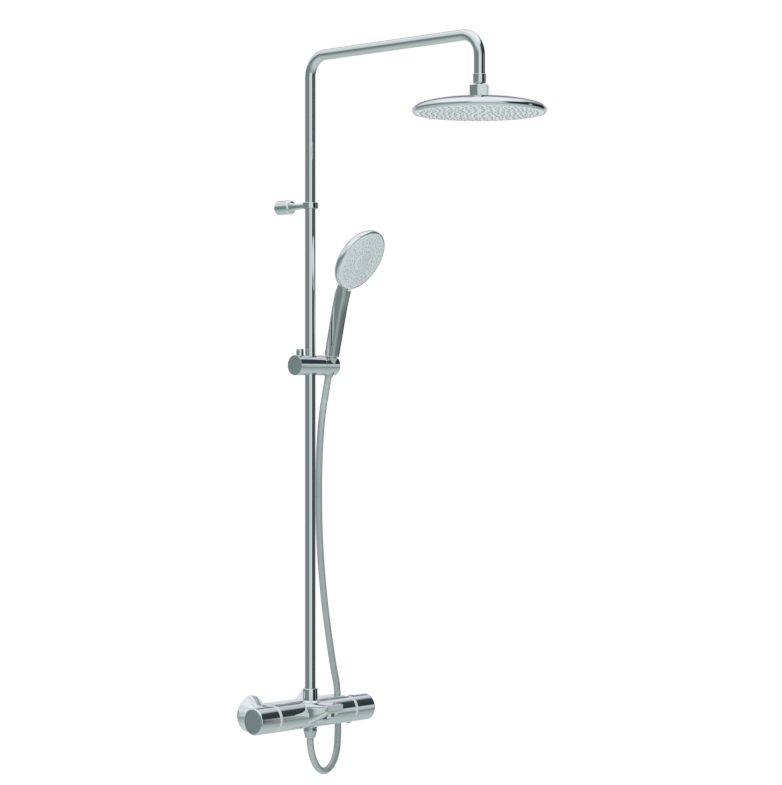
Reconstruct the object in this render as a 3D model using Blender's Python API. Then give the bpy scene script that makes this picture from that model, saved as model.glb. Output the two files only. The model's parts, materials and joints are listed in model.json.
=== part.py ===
"""Wall-mounted bath and shower column: thermostatic mixer with spout, bent riser, rain head,
sliding handset holder, handset and hose. Metres, +Z up, the wall is the plane y = 0 and the
column stands in front of it, towards -Y. The origin is midway between the two wall inlets."""
import math

import bmesh
import bpy
from mathutils import Matrix, Vector

# Driving dimensions
WALL_GAP = 0.085            # wall to the common axis plane of riser and mixer
INLET_HALF = 0.075          # half of the 150 mm inlet spacing
BARREL_R = 0.025            # mixer body and knobs
BODY_LEFT, BODY_RIGHT = -0.0950, 0.0990
RING_WIDTH = 0.0060
KNOB_LENGTH = 0.0467
DECK_TOP, DECK_BACK = 0.0264, 0.0360
SPOUT_REACH = 0.067         # spout tip in front of the mixer axis
CAVITY_R = 0.0192           # cartridge bores in both ends of the body
RISER_R, TUBE_WALL = 0.010, 0.0015
ARM_Z = 1.244               # arm centreline above the mixer axis
ARM_REACH = 0.426           # riser axis to the drop of the arm
BEND_R = 0.039
BRACKET_Z = 0.962
HEAD_R = 0.120
SLIDER_Z, SLIDER_R = 0.660, 0.019
SLIDER_LEFT, SLIDER_SEAM, SLIDER_RIGHT = -0.0410, 0.0262, 0.0620
HOLDER_X = 0.0465           # plane of the handset
HANDLE_LEAN = math.radians(13.2)
HANDLE_TWIST = math.radians(8.0)
HANDLE_OFFSET = 0.0067      # handle axis in front of the tilt axis
FACE_R = 0.0595             # handset spray face
FACE_TILT = math.radians(31.0)
HOSE_R = 0.0065
WALL_STUB = 0.012           # threads and screws that enter the wall
GAP = 0.0003                # between neighbours

AXIS_Y = -WALL_GAP
HEAD_Y = AXIS_Y - ARM_REACH
BALL_Z = ARM_Z - 0.1045
RING_R0 = BODY_RIGHT + GAP
KNOB_RIGHT = RING_R0 + RING_WIDTH + GAP
KNOB_LEFT = BODY_LEFT - GAP - RING_WIDTH - GAP

AXES = {"X": Vector((1, 0, 0)), "-X": Vector((-1, 0, 0)), "Y": Vector((0, 1, 0)),
        "-Y": Vector((0, -1, 0)), "Z": Vector((0, 0, 1)), "-Z": Vector((0, 0, -1))}


# Scene, materials and objects

def clear_scene():
    for obj in list(bpy.data.objects):
        bpy.data.objects.remove(obj, do_unlink=True)


def material(name, colour, metallic, roughness):
    found = bpy.data.materials.get(name)
    if found:
        return found
    made = bpy.data.materials.new(name)
    made.use_nodes = True
    shader = made.node_tree.nodes["Principled BSDF"]
    shader.inputs["Base Color"].default_value = (*colour, 1.0)
    shader.inputs["Metallic"].default_value = metallic
    shader.inputs["Roughness"].default_value = roughness
    made.diffuse_color = (*colour, 1.0)
    return made


def chrome():
    return material("chrome", (0.80, 0.83, 0.82), 1.0, 0.08)


def satin_ring():
    return material("satin_ring", (0.70, 0.74, 0.73), 0.6, 0.30)


def brass():
    return material("brass", (0.72, 0.55, 0.28), 1.0, 0.35)


def steel():
    return material("steel", (0.62, 0.63, 0.64), 1.0, 0.30)


def pale_plastic():
    return material("pale_plastic", (0.72, 0.77, 0.78), 0.0, 0.35)


def dark_plastic():
    return material("dark_plastic", (0.10, 0.11, 0.12), 0.0, 0.50)


def red_plastic():
    return material("red_plastic", (0.75, 0.12, 0.18), 0.0, 0.35)


def rubber():
    return material("rubber", (0.05, 0.05, 0.05), 0.0, 0.80)


def silicone():
    return material("silicone", (0.55, 0.62, 0.62), 0.0, 0.60)


def hose_skin():
    return material("hose_skin", (0.45, 0.52, 0.49), 0.3, 0.35)


def pivot(name, place, turn=None):
    """An empty on a joint's axis; the pieces that move with the joint hang from it."""
    empty = bpy.data.objects.new(name, None)
    bpy.context.scene.collection.objects.link(empty)
    empty.matrix_world = Matrix.Translation(place)
    if turn is not None:
        empty.matrix_world = Matrix.Translation(place) @ turn.to_4x4()
    return empty


def add(name, bm, finish, place=(0, 0, 0), axis="Z", turn=None, sharp=35.0):
    """Link the bmesh as an object whose own +Z lies along the axis, at the place."""
    bmesh.ops.recalc_face_normals(bm, faces=bm.faces)
    mesh = bpy.data.meshes.new(name)
    bm.to_mesh(mesh)
    bm.free()
    mesh.shade_smooth()
    mesh.set_sharp_from_angle(angle=math.radians(sharp))
    mesh.materials.append(finish)
    obj = bpy.data.objects.new(name, mesh)
    bpy.context.scene.collection.objects.link(obj)
    if turn is None:
        turn = AXES["Z"].rotation_difference(AXES[axis]).to_matrix()
    obj.matrix_world = Matrix.Translation(place) @ turn.to_4x4()
    return obj


def hang(parent, *objects):
    """Parent the objects and keep them where they stand."""
    bpy.context.view_layer.update()
    for obj in objects:
        place = obj.matrix_world.copy()
        obj.parent = parent
        obj.matrix_parent_inverse = Matrix.Identity(4)
        obj.matrix_local = parent.matrix_world.inverted() @ place


def tool(obj):
    obj.hide_render = True
    obj.display_type = "WIRE"
    return obj


def boolean(target, cutter, operation="DIFFERENCE"):
    step = target.modifiers.new(cutter.name, "BOOLEAN")
    step.operation = operation
    step.solver = "EXACT"
    step.object = tool(cutter)


# Shapes

def sides(radius):
    """How many flat sides a round piece of this radius gets."""
    for limit, count in ((0.0065, 12), (0.0125, 16), (0.0270, 20), (0.0400, 24)):
        if radius <= limit:
            return count
    return 36


def turned(profile, closed=False):
    """Spin a list of (radius, height) points about Z; closed joins the last to the first."""
    segments = sides(max(radius for radius, height in profile))
    bm = bmesh.new()
    verts = [bm.verts.new((radius, 0.0, height)) for radius, height in profile]
    pairs = list(zip(verts, verts[1:]))
    if closed:
        pairs.append((verts[-1], verts[0]))
    edges = [bm.edges.new(pair) for pair in pairs]
    bmesh.ops.spin(bm, geom=verts + edges, cent=(0, 0, 0), axis=(0, 0, 1), angle=2 * math.pi,
                   steps=segments, use_merge=True, use_duplicate=False)
    bmesh.ops.remove_doubles(bm, verts=bm.verts, dist=1e-6)
    return bm


def rod(radius, low, high, chamfer=0.0):
    """A solid round bar between two heights."""
    if chamfer:
        outline = [(0, low), (radius - chamfer, low), (radius, low + chamfer),
                   (radius, high - chamfer), (radius - chamfer, high), (0, high)]
    else:
        outline = [(0, low), (radius, low), (radius, high), (0, high)]
    return turned(outline)


def sleeve(inner, outer, low, high, chamfer=0.0):
    """A round ring or tube between two heights."""
    outline = [(inner, low), (outer - chamfer, low), (outer, low + chamfer),
               (outer, high - chamfer), (outer - chamfer, high), (inner, high)]
    if not chamfer:
        outline = [(inner, low), (outer, low), (outer, high), (inner, high)]
    return turned(outline, closed=True)


def twins(bm):
    """Two copies of a shape, one at each wall inlet."""
    other = bmesh.ops.duplicate(bm, geom=bm.verts[:] + bm.faces[:])["geom"]
    moved = {v for v in other if isinstance(v, bmesh.types.BMVert)}
    bmesh.ops.translate(bm, vec=(INLET_HALF, 0, 0), verts=list(moved))
    bmesh.ops.translate(bm, vec=(-INLET_HALF, 0, 0), verts=[v for v in bm.verts if v not in moved])
    return bm


def block(low, high):
    bm = bmesh.new()
    bmesh.ops.create_cube(bm, size=1.0)
    size = [b - a for a, b in zip(low, high)]
    middle = [(a + b) / 2 for a, b in zip(low, high)]
    bmesh.ops.scale(bm, vec=size, verts=bm.verts)
    bmesh.ops.translate(bm, vec=middle, verts=bm.verts)
    return bm


def hexagon(across_flats, low, high, chamfer):
    """A hexagonal bar with its corners turned off at both ends."""
    bm = bmesh.new()
    corner = across_flats / math.sqrt(3)
    bmesh.ops.create_cone(bm, cap_ends=True, segments=6, radius1=corner, radius2=corner,
                          depth=high - low)
    bmesh.ops.translate(bm, vec=(0, 0, (low + high) / 2), verts=bm.verts)
    ends = [edge for edge in bm.edges if abs(edge.verts[0].co.z - edge.verts[1].co.z) < 1e-6]
    bmesh.ops.bevel(bm, geom=ends, offset=chamfer, offset_type="OFFSET", segments=1,
                    profile=0.5, affect="EDGES", material=-1)
    return bm


def arc(centre, radius, start, end, steps):
    """Points of an arc in a profile, angles in degrees from the radial direction."""
    points = []
    for step in range(steps + 1):
        angle = math.radians(start + (end - start) * step / steps)
        points.append((centre[0] + radius * math.cos(angle), centre[1] + radius * math.sin(angle)))
    return points


def loft(rings, power, corners=16):
    """Bridge a row of rounded-square rings: each is (centre, half x, half y, lean).

    The lower the power, the squarer the rings."""
    bm = bmesh.new()
    loops = []
    for centre, half_x, half_y, lean in rings:
        made = bmesh.ops.create_circle(bm, segments=corners, radius=1.0)
        for vert in made["verts"]:
            x, y = vert.co.x, vert.co.y
            vert.co.x = math.copysign(abs(x) ** power, x) * half_x
            vert.co.y = math.copysign(abs(y) ** power, y) * half_y
        bmesh.ops.rotate(bm, verts=made["verts"], cent=(0, 0, 0),
                         matrix=Matrix.Rotation(lean, 3, "X"))
        bmesh.ops.translate(bm, verts=made["verts"], vec=centre)
        loops.append([e for e in bm.edges if all(v in made["verts"] for v in e.verts)])
    for lower, upper in zip(loops, loops[1:]):
        bmesh.ops.bridge_loops(bm, edges=lower + upper)
    bmesh.ops.contextual_create(bm, geom=loops[0])
    bmesh.ops.contextual_create(bm, geom=loops[-1])
    return bm


def smooth_route(points, step):
    """A centripetal Catmull-Rom curve through the points, sampled about every step."""
    pts = [Vector(p) for p in points]
    pts = [2 * pts[0] - pts[1]] + pts + [2 * pts[-1] - pts[-2]]
    route = []
    for a, b, c, d in zip(pts, pts[1:], pts[2:], pts[3:]):
        t0 = 0.0
        t1 = t0 + (b - a).length ** 0.5
        t2 = t1 + (c - b).length ** 0.5
        t3 = t2 + (d - c).length ** 0.5
        count = max(1, round((c - b).length / step))
        for i in range(count):
            t = t1 + (t2 - t1) * i / count
            ab = a.lerp(b, (t - t0) / (t1 - t0))
            bc = b.lerp(c, (t - t1) / (t2 - t1))
            cd = c.lerp(d, (t - t2) / (t3 - t2))
            abc = ab.lerp(bc, (t - t0) / (t2 - t0))
            bcd = bc.lerp(cd, (t - t1) / (t3 - t1))
            route.append(abc.lerp(bcd, (t - t1) / (t2 - t1)))
    route.append(pts[-2])
    return route


# Mixer

def mixer_body():
    """Cast body: barrel, flat deck behind it, spout, riser and hose bosses, inlet necks."""
    at = (0, AXIS_Y, 0)
    body = add("mixer_body", rod(BARREL_R, BODY_LEFT, BODY_RIGHT, 0.0008), chrome(), at, "X")

    deck = block((BODY_LEFT + 0.001, 0.0013, -0.0168), (BODY_RIGHT - 0.001, DECK_BACK, DECK_TOP))
    long_edges = [e for e in deck.edges if abs(e.verts[0].co.x - e.verts[1].co.x) > 0.1
                  and e.verts[0].co.y > 0.01]
    bmesh.ops.bevel(deck, geom=long_edges, offset=0.005, offset_type="OFFSET", segments=3,
                    profile=0.5, affect="EDGES", material=-1)
    boolean(body, add("deck_shape", deck, chrome(), at), "UNION")

    boolean(body, add("spout_shape", spout_form(), chrome(), at), "UNION")

    riser_boss = turned([(0, 0.0), (0.0215, 0.0), (0.0190, 0.0225), (0.0148, 0.0268),
                         (0.0148, 0.0280), (0, 0.0280)])
    boolean(body, add("riser_boss_shape", riser_boss, chrome(), at), "UNION")
    boolean(body, add("hose_boss_shape", rod(0.0126, -0.0272, -0.010), chrome(), at), "UNION")
    necks = twins(rod(0.0124, 0.020, 0.0460))
    boolean(body, add("neck_shapes", necks, chrome(), at, "Y"), "UNION")

    cavities = rod(CAVITY_R, -0.111, -0.0580)
    right_end = bmesh.ops.duplicate(cavities, geom=cavities.verts[:] + cavities.faces[:])["geom"]
    bmesh.ops.translate(cavities, vec=(0, 0, 0.167),
                        verts=[v for v in right_end if isinstance(v, bmesh.types.BMVert)])
    ways = add("waterways", cavities, chrome(), at, "X")
    bores = twins(rod(0.0072, 0.0110, 0.060))
    boolean(ways, add("inlet_bores", bores, chrome(), at, "Y"), "UNION")
    boolean(ways, add("cross_bore", rod(0.0060, -0.0700, 0.0690), chrome(), at, "X"), "UNION")
    boolean(ways, add("up_and_down_bore", rod(0.0080, -0.040, 0.041), chrome(), at), "UNION")
    tip = (0, AXIS_Y - SPOUT_REACH + 0.0165, 0)
    spout_way = rod(0.0040, -0.0510, 0.0021)
    boolean(ways, add("spout_way", spout_way, chrome(), (0, AXIS_Y, 0.0113), "Y"), "UNION")
    boolean(ways, add("aerator_pocket", rod(0.0108, -0.030, 0.0165), chrome(), tip), "UNION")
    boolean(body, ways)
    return body


def spout_form():
    """Spout: flat top level with the barrel, underside rising from a deep root to a thin tip."""
    top = 0.0240
    side = [(0.0030, top), (-SPOUT_REACH, top), (-SPOUT_REACH + 0.0045, 0.0085),
            (-0.0500, 0.0010), (-0.0380, -0.0060), (-0.0260, -0.0125), (0.0030, -0.0160)]
    bm = bmesh.new()
    outline = [bm.verts.new((-1.0, y, z)) for y, z in side]
    face = bm.faces.new(outline)
    swept = bmesh.ops.extrude_face_region(bm, geom=[face])
    moved = [v for v in swept["geom"] if isinstance(v, bmesh.types.BMVert)]
    bmesh.ops.translate(bm, vec=(2.0, 0, 0), verts=moved)
    for vert in bm.verts:
        reach = -vert.co.y / SPOUT_REACH
        vert.co.x *= 0.0225 + 0.0065 * (1.0 - reach) ** 2
    sides = [e for e in bm.edges if abs(e.verts[0].co.x - e.verts[1].co.x) < 0.01
             and max(v.co.y for v in e.verts) < -0.001]
    bmesh.ops.recalc_face_normals(bm, faces=bm.faces)
    bmesh.ops.bevel(bm, geom=sides, offset=0.0022, offset_type="OFFSET", segments=2,
                    profile=0.5, affect="EDGES", material=-1)
    return bm


def spout_aerator():
    tip_y = AXIS_Y - SPOUT_REACH + 0.0165
    outline = [(0, 0.0160), (0.0104, 0.0160), (0.0104, 0.0012), (0.0094, 0.0002), (0.0080, 0.0002),
               (0.0080, 0.0030), (0, 0.0030)]
    return add("spout_aerator", turned(outline), chrome(), (0, tip_y, 0))


def inlet_parts(side, word):
    """Rosette, union nut, filter washer and wall union of one inlet; +Z of each is the wall."""
    place = (side * INLET_HALF, AXIS_Y, 0)
    cone = [(0.0345, 0.0848), (0.0345, 0.0828), (0.0240, 0.0690), (0.0172, 0.0625),
            (0.0155, 0.0594), (0.0108, 0.0594), (0.0108, 0.0608), (0.0146, 0.0608),
            (0.0229, 0.0706), (0.0328, 0.0835), (0.0328, 0.0848)]
    add(f"escutcheon_{word}", turned(cone, closed=True), chrome(), place, "Y")

    nut = add(f"union_nut_{word}", hexagon(0.030, 0.0388, 0.0584, 0.0012), chrome(), place, "Y")
    bore = turned([(0, 0.030), (0.0128, 0.030), (0.0128, 0.0537), (0.0105, 0.0537),
                   (0.0105, 0.070), (0, 0.070)])
    boolean(nut, add(f"union_nut_bore_{word}", bore, chrome(), place, "Y"))

    add(f"inlet_washer_{word}", sleeve(0.0070, 0.0120, 0.0463, 0.0487), rubber(), place, "Y")
    union = [(0.0075, 0.0490), (0.0123, 0.0490), (0.0123, 0.0533), (0.0102, 0.0533),
             (0.0102, WALL_GAP + WALL_STUB - 0.001), (0.0092, WALL_GAP + WALL_STUB),
             (0.0075, WALL_GAP + WALL_STUB)]
    add(f"inlet_union_{word}", turned(union, closed=True), brass(), place, "Y")


def cartridge(name, side, start, end, finish):
    """A cartridge in one end of the body, open at its nose for the turning spindle."""
    outline = [(0, start), (0.0186, start), (0.0186, end), (0.0120, end), (0.0120, end + 0.0030),
               (0.0042, end + 0.0030), (0.0042, end - 0.0200), (0, end - 0.0200)]
    axis = "X" if side > 0 else "-X"
    return add(name, turned(outline), finish, (0, AXIS_Y, 0), axis)


def spindle(name, side, knob_start):
    """Turning spindle, from inside the cartridge to the knob's hub, tapped for the screw."""
    low, high = knob_start - 0.0180, knob_start + 0.0290
    outline = [(0, low), (0.0038, low), (0.0038, high), (0.0022, high), (0.0022, high - 0.008),
               (0, high - 0.008)]
    axis = "X" if side > 0 else "-X"
    return add(name, turned(outline), brass(), (0, AXIS_Y, 0), axis)


def knob(name, side, start, finish):
    """Round hollow knob: rim, web, hub on the spindle, recess for the end cap."""
    length, rim, edge = KNOB_LENGTH, 0.0222, 0.0030
    outline = [(BARREL_R, start), *arc((BARREL_R - edge, start + length - edge), edge, 0, 80, 2),
               (0.0212, start + length - 0.0001), (0.0212, start + length - 0.0026),
               (0.0046, start + length - 0.0026), (0.0046, start + length - 0.0062),
               (0.0022, start + length - 0.0062), (0.0022, start + 0.0296),
               (0.0041, start + 0.0296), (0.0041, start + 0.0045), (0.0080, start + 0.0045),
               (0.0080, start + 0.0370), (rim, start + 0.0370), (rim, start)]
    axis = "X" if side > 0 else "-X"
    return add(name, turned(outline, closed=True), finish, (0, AXIS_Y, 0), axis)


def knob_cap(name, side, start):
    face = start + KNOB_LENGTH
    outline = [(0, face - 0.0023), (0.0209, face - 0.0023), (0.0209, face - 0.0004),
               (0.0205, face), (0, face)]
    return add(name, turned(outline), chrome(), (0, AXIS_Y, 0), "X" if side > 0 else "-X")


def knob_screw(name, side, start):
    top = start + KNOB_LENGTH - 0.0029
    outline = [(0, top - 0.0190), (0.0019, top - 0.0190), (0.0019, top - 0.0030),
               (0.0042, top - 0.0030), (0.0042, top), (0.0016, top), (0.0016, top - 0.0015),
               (0, top - 0.0015)]
    return add(name, turned(outline), steel(), (0, AXIS_Y, 0), "X" if side > 0 else "-X")


def stop_ring(name, side, start):
    return add(name, sleeve(0.0190, BARREL_R, start, start + RING_WIDTH, 0.0004),
               satin_ring(), (0, AXIS_Y, 0), "X" if side > 0 else "-X")


def flow_side():
    """Left end: cartridge, ring and the knob that opens, closes and diverts."""
    start = -BODY_LEFT
    cartridge("diverter_cartridge", -1, 0.0590, start + 0.0054, dark_plastic())
    stop_ring("flow_stop_ring", -1, start + GAP)
    turn = pivot("flow_knob_pivot", (KNOB_LEFT, AXIS_Y, 0))
    begin = -KNOB_LEFT
    hang(turn, knob("flow_knob", -1, begin, chrome()), spindle("diverter_spindle", -1, begin),
         knob_cap("flow_knob_cap", -1, begin), knob_screw("flow_knob_screw", -1, begin))


def temperature_side():
    """Right end: thermostat, ring with its stop lug, knob and the safety stop button."""
    cartridge("thermostat_cartridge", 1, 0.0570, BODY_RIGHT + 0.0054, brass())
    ring = stop_ring("temperature_stop_ring", 1, RING_R0)
    lug = block((RING_R0 + 0.0004, -0.0045, -0.0275), (RING_R0 + RING_WIDTH - 0.0004, 0.0045,
                                                       -0.0235))
    boolean(ring, add("lug_shape", lug, satin_ring(), (0, AXIS_Y, 0)), "UNION")
    turn = pivot("temperature_knob_pivot", (KNOB_RIGHT, AXIS_Y, 0))
    shell = knob("temperature_knob", 1, KNOB_RIGHT, chrome())
    slot = block((KNOB_RIGHT - 0.002, -0.0048, 0.018), (KNOB_RIGHT + 0.0072, 0.0048, 0.030))
    boolean(shell, add("button_slot", slot, chrome(), (0, AXIS_Y, 0)))
    hang(turn, shell, spindle("thermostat_spindle", 1, KNOB_RIGHT),
         knob_cap("temperature_knob_cap", 1, KNOB_RIGHT),
         knob_screw("temperature_knob_screw", 1, KNOB_RIGHT))

    press = pivot("safety_button_pivot", (KNOB_RIGHT + 0.0036, AXIS_Y, BARREL_R))
    hang(turn, press)
    pad = block((0.0004, -0.0044, -0.0036), (0.0066, 0.0044, 0.0008))
    upright = [e for e in pad.edges if abs(e.verts[0].co.z - e.verts[1].co.z) > 0.003]
    bmesh.ops.bevel(pad, geom=upright, offset=0.0015, offset_type="OFFSET", segments=2,
                    profile=0.5, affect="EDGES", material=-1)
    button = add("safety_button", pad, red_plastic(), (KNOB_RIGHT, AXIS_Y, BARREL_R))
    coil = spring("safety_button_spring", (KNOB_RIGHT + 0.0060, AXIS_Y, 0.0088), 0.0022, 0.0004,
                  0.0120, 4)
    hang(press, button, coil)


def spring(name, foot, radius, wire, height, turns):
    """A coil spring standing on its foot, as one round wire with filled ends."""
    curve = bpy.data.curves.new(name, "CURVE")
    curve.dimensions = "3D"
    curve.bevel_depth = wire
    curve.bevel_resolution = 0
    curve.use_fill_caps = True
    spline = curve.splines.new("POLY")
    steps = turns * 9
    spline.points.add(steps)
    for i in range(steps + 1):
        angle = 2 * math.pi * i / 9
        z = wire + (height - 2 * wire) * i / steps
        spline.points[i].co = (radius * math.cos(angle), radius * math.sin(angle), z, 1.0)
    curve.materials.append(steel())
    obj = bpy.data.objects.new(name, curve)
    bpy.context.scene.collection.objects.link(obj)
    obj.location = foot
    return obj


def hose_connection():
    """Nipple and washer under the body for the handset's hose."""
    at = (0, AXIS_Y, 0)
    outline = [(0.0048, -0.0080), (0.0077, -0.0080), (0.0077, -0.0370), (0.0048, -0.0370)]
    add("hose_outlet_nipple", turned(outline, closed=True), brass(), at)
    add("hose_washer_lower", sleeve(0.0040, 0.0078, -0.0395, -0.0373), rubber(), at)
    nut = [(0.0081, -0.0276), (0.0130, -0.0276), (0.0130, -0.0310), (0.0098, -0.0440),
           (0.0092, -0.0448), (0.0045, -0.0448), (0.0045, -0.0398), (0.0081, -0.0398)]
    add("hose_lower_nut", turned(nut, closed=True), chrome(), at)


# Riser, wall bracket and rain head

def riser():
    """One tube bent twice: up the wall, forward as the arm and down to the head."""
    bm = bmesh.new()
    ring = bmesh.ops.create_circle(bm, segments=18, radius=RISER_R)
    bmesh.ops.translate(bm, vec=(0, AXIS_Y, 0.0320), verts=ring["verts"])
    front = list(bm.edges)

    def go(vec):
        nonlocal front
        made = bmesh.ops.extrude_edge_only(bm, edges=front)["geom"]
        bmesh.ops.translate(bm, vec=vec,
                            verts=[v for v in made if isinstance(v, bmesh.types.BMVert)])
        front = [e for e in made if isinstance(e, bmesh.types.BMEdge)
                 and all(v in made for v in e.verts)]

    def bend(centre):
        nonlocal front
        made = bmesh.ops.spin(bm, geom=front, cent=centre, axis=(1, 0, 0), angle=math.pi / 2,
                              steps=6, use_merge=False, use_duplicate=False)["geom_last"]
        front = [e for e in made if isinstance(e, bmesh.types.BMEdge)]

    go((0, 0, ARM_Z - BEND_R - 0.0320))
    bend((0, AXIS_Y - BEND_R, ARM_Z - BEND_R))
    go((0, -(ARM_REACH - 2 * BEND_R), 0))
    bend((0, HEAD_Y + BEND_R, ARM_Z - BEND_R))
    go((0, 0, -(0.0795 - BEND_R)))
    bmesh.ops.remove_doubles(bm, verts=bm.verts, dist=1e-6)
    bmesh.ops.translate(bm, vec=(0, -AXIS_Y, 0), verts=bm.verts)
    tube = add("riser_tube", bm, chrome(), (0, AXIS_Y, 0))
    skin = tube.modifiers.new("wall", "SOLIDIFY")
    skin.thickness = TUBE_WALL
    skin.offset = -1.0
    skin.use_even_offset = True
    return tube


def riser_fittings():
    """Nut and seal that hold the tube's foot in the mixer."""
    at = (0, AXIS_Y, 0)
    add("riser_seal", sleeve(0.0060, 0.0098, 0.0290, 0.0313), rubber(), at)
    outline = [(0.0103, 0.0283), (0.0140, 0.0283), (0.0140, 0.0480), (0.0132, 0.0492),
               (0.0103, 0.0492)]
    add("riser_nut", turned(outline, closed=True), chrome(), at)


def bracket():
    """Wall bracket: split ring, slim arm and round foot over a screwed wall plate."""
    at = (0, AXIS_Y, BRACKET_Z)
    foot = [(0, 0.0510), (0.0100, 0.0510), (0.0125, 0.0520), (0.0135, 0.0540), (0.0135, 0.0848),
            (0.0117, 0.0848), (0.0117, 0.0700), (0, 0.0700)]
    body = add("bracket_body", turned(foot), chrome(), at, "Y")
    boolean(body, add("bracket_ring_shape", rod(0.0150, -0.0058, 0.0058, 0.0008), chrome(),
                      at), "UNION")
    arm = loft([((0, 0.0080, 0), 0.0068, 0.0050, -math.pi / 2),
                ((0, 0.0240, 0), 0.0052, 0.0050, -math.pi / 2),
                ((0, 0.0420, 0), 0.0062, 0.0070, -math.pi / 2),
                ((0, 0.0560, 0), 0.0094, 0.0094, -math.pi / 2)], 0.62)
    boolean(body, add("bracket_arm_shape", arm, chrome(), at), "UNION")
    boolean(body, add("bracket_bore", rod(0.0121, -0.010, 0.010), chrome(), at))
    grub_seat = rod(0.0024, -0.0200, -0.0080)
    boolean(body, add("grub_bore", grub_seat, chrome(), (0, AXIS_Y + 0.0800, BRACKET_Z)))

    add("bracket_liner", sleeve(0.0103, 0.0118, -0.0056, 0.0056), dark_plastic(), at)
    add("bracket_wall_plate", sleeve(0.0026, 0.0113, 0.0760, 0.0847), steel(), at, "Y")
    screw = [(0, 0.0725), (0.0048, 0.0725), (0.0048, 0.0757), (0.0023, 0.0757),
             (0.0023, WALL_GAP + WALL_STUB - 0.002), (0.0008, WALL_GAP + WALL_STUB),
             (0, WALL_GAP + WALL_STUB)]
    add("bracket_wall_screw", turned(screw), steel(), at, "Y")
    add("bracket_grub_screw", rod(0.0021, -0.0132, -0.0117), steel(),
        (0, AXIS_Y + 0.0800, BRACKET_Z))


def head_joint():
    """Collar on the drop, ball stem screwed into it, and what turns on the ball."""
    drop = (0, HEAD_Y, ARM_Z)
    collar = [(0.0103, -0.0730), (0.0109, -0.0730), (0.0115, -0.0738), (0.0115, -0.0892),
              (0.0109, -0.0900), (0.0055, -0.0900), (0.0055, -0.0800), (0.0103, -0.0800)]
    add("swivel_collar", turned(collar, closed=True), chrome(), drop)
    ball = Vector((0, HEAD_Y, BALL_Z))
    sphere = 0.0110
    stem = [(0.0030, 0.0240), (0.0052, 0.0240), (0.0052, 0.0105),
            *arc((0, 0), sphere, 62, -62, 9), (0.0030, -0.0097)]
    add("ball_stem", turned(stem, closed=True), chrome(), ball)

    swivel = pivot("head_swivel_pivot", ball)
    gasket = [(0.0056, 0.0118), (0.0076, 0.0113), (0.0076, 0.0121), (0.0056, 0.0126)]
    hang(swivel, add("swivel_gasket", turned(gasket, closed=True), dark_plastic(), ball))
    tilt = pivot("rain_head_pivot", ball)
    hang(swivel, tilt)
    return tilt, ball


def rain_head():
    """Ball nut, seat, dome, waterway, nozzle mat and spray plate, all on the ball's centre."""
    tilt, ball = head_joint()
    nut = add("ball_nut", hexagon(0.0320, -0.0082, 0.0120, 0.0012), chrome(), ball)
    bore = turned([(0, -0.020), (0.0117, -0.020), (0.0117, 0.0010), (0.0102, 0.0052),
                   (0.0102, 0.020), (0, 0.020)])
    boolean(nut, add("ball_nut_bore", bore, chrome(), ball))
    seat = [(0.0070, -0.0095), (0.0104, -0.0095), (0.0114, -0.0050), (0.0114, -0.0020),
            (0.0111, -0.0020), (0.0107, -0.0040), (0.0098, -0.0062), (0.0083, -0.0082),
            (0.0070, -0.0090)]
    seat_ring = add("ball_seat", turned(seat, closed=True), pale_plastic(), ball)

    top = -0.0086
    dome = [(0.0122, top), (0.0600, top - 0.0036), (0.0950, top - 0.0092),
            (0.1120, top - 0.0145), (0.1180, top - 0.0186), (HEAD_R, top - 0.0232),
            (0.1185, top - 0.0278), (0.1155, top - 0.0294)]
    inner = [(0.1155, top - 0.0278), (0.1172, top - 0.0232), (0.1150, top - 0.0192),
             (0.1100, top - 0.0161), (0.0930, top - 0.0106), (0.0600, top - 0.0051),
             (0.0122, top - 0.0014)]
    shell = add("head_shell", turned(dome + inner, closed=True), chrome(), ball)

    low = top - 0.0294
    waterway = [(0.0045, -0.0114), (0.0112, -0.0114), (0.0112, top - 0.0110),
                (0.0500, top - 0.0130), (0.0880, top - 0.0180), (0.1090, top - 0.0236),
                (0.1090, low + 0.0048), (0.0045, low + 0.0048)]
    water = add("head_waterway", turned(waterway, closed=True), dark_plastic(), ball)
    mat = add("head_nozzle_mat", rod(0.1120, low + 0.0026, low + 0.0045), silicone(), ball)
    plate = add("head_spray_plate", rod(0.1152, low + 0.0004, low + 0.0023, 0.0004),
                pale_plastic(), ball)
    hang(tilt, nut, seat_ring, shell, water, mat, plate)


# Slider, holder, handset and hose

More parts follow.
